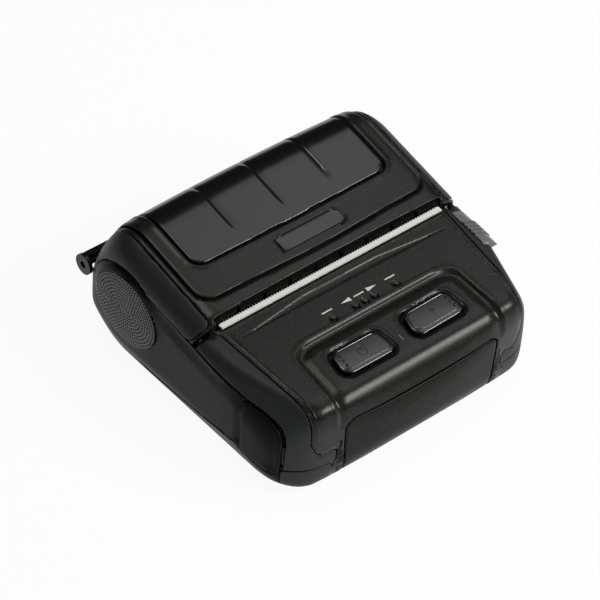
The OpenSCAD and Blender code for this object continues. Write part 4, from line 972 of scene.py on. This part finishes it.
# %% [markdown]
# ## Light
# A large soft box high on the right is what the smoked window mirrors. A lower one in front draws the
# streak along the front rounding, and a small warm one almost overhead picks out the lid's left edge.
# The world is grey in front and nearly black behind the printer, so that the back of the lid rolls off
# into black. The backdrop is plain white to the camera alone. The floor glows for the camera and in
# reflections, so that it vanishes like a sweep of white paper, and everything else lights it as usual.

# %% Floor
FLOOR_SIZE, FLOOR_WHITE = 6, 0.94

def stage_floor():
    bm = bmesh.new()
    bmesh.ops.create_grid(bm, x_segments=1, y_segments=1, size=FLOOR_SIZE)
    mesh = bpy.data.meshes.new("floor")
    bm.to_mesh(mesh)
    bm.free()
    floor = bpy.data.objects.new("floor", mesh)
    bpy.context.scene.collection.objects.link(floor)
    paint = Paint("white_floor")
    camera_ray, glossy_ray, transmission_ray = (
        paint.node("ShaderNodeLightPath", {}, output=name)
        for name in ("Is Camera Ray", "Is Glossy Ray", "Is Transmission Ray"))
    seen = (camera_ray + glossy_ray + transmission_ray).clip() * FLOOR_WHITE
    paint.set(Base_Color=(0.9, 0.9, 0.9), Roughness=0.9)
    glow = paint.node("ShaderNodeEmission", {}, Color=(1, 1, 1, 1), Strength=1.0)
    both = paint.node("ShaderNodeMixShader", {}, seen, Wire(paint, paint.shader.outputs[0]), glow)
    paint.tree.links.new(both.socket, paint.tree.nodes["Material Output"].inputs[0])
    mesh.materials.append(paint.material)
    print("floor:", 2 * FLOOR_SIZE, "m square")

stage_floor()

# %% Soft boxes
LIGHT_AIM, LIGHT_DISTANCE = Vector((0, 0, 0.03)), 1.2

def soft_box(name, way, size, strength, colour=(1, 1, 1)):
    """A soft box in this direction from the printer, whose face shines at this strength."""
    data = bpy.data.lights.new(name, "AREA")
    data.shape, data.size, data.size_y, data.color = "RECTANGLE", size[0], size[1], colour
    data.energy = strength * math.pi * size[0] * size[1]
    light = bpy.data.objects.new(name, data)
    bpy.context.scene.collection.objects.link(light)
    light.location = Vector(way).normalized() * LIGHT_DISTANCE + LIGHT_AIM
    light.rotation_euler = (LIGHT_AIM - light.location).to_track_quat("-Z", "Y").to_euler()
    print(name, round(data.energy, 1), "W")

soft_box("top_box", (0.5, 0.08, 0.865), (0.66, 0.6), 1.7)
soft_box("front_box", (0.45, -0.66, 0.6), (0.66, 0.24), 22.0, (1.0, 0.99, 0.96))
soft_box("left_box", (-0.08, 0.22, 0.97), (0.4, 0.3), 7.0, (1.0, 0.95, 0.88))

# %% World
BEHIND_WAY = (0.36, 0.9, 0.25)
FADE_FROM, FADE_TO, GREY, DARK = 0.3, 0.8, 0.14, 0.02
world = bpy.data.worlds.new("studio")
bpy.context.scene.world = world
world.use_nodes = True
nodes, links = world.node_tree.nodes, world.node_tree.links
direction, path = nodes.new("ShaderNodeTexCoord"), nodes.new("ShaderNodeLightPath")
behind_it = nodes.new("ShaderNodeVectorMath")
behind_it.operation = "DOT_PRODUCT"
behind_it.inputs[1].default_value = Vector(BEHIND_WAY).normalized()
links.new(direction.outputs["Generated"], behind_it.inputs[0])
shade = nodes.new("ShaderNodeMapRange")
shade.interpolation_type = "SMOOTHSTEP"
for socket, value in zip(shade.inputs[1:5], (FADE_FROM, FADE_TO, GREY, DARK)):
    socket.default_value = value
links.new(behind_it.outputs["Value"], shade.inputs[0])
# Light rays find the shaded world, and the camera finds plain white
shaded, white = nodes["Background"], nodes.new("ShaderNodeBackground")
for background in (shaded, white):
    background.inputs[0].default_value = (1, 1, 1, 1)
links.new(shade.outputs[0], shaded.inputs[1])
chosen = nodes.new("ShaderNodeMixShader")
links.new(path.outputs["Is Camera Ray"], chosen.inputs[0])
links.new(shaded.outputs[0], chosen.inputs[1])
links.new(white.outputs[0], chosen.inputs[2])
links.new(chosen.outputs[0], nodes["World Output"].inputs[0])
bpy.context.scene.view_settings.view_transform = "Standard"
print("world:", GREY, "in front,", DARK, "behind")
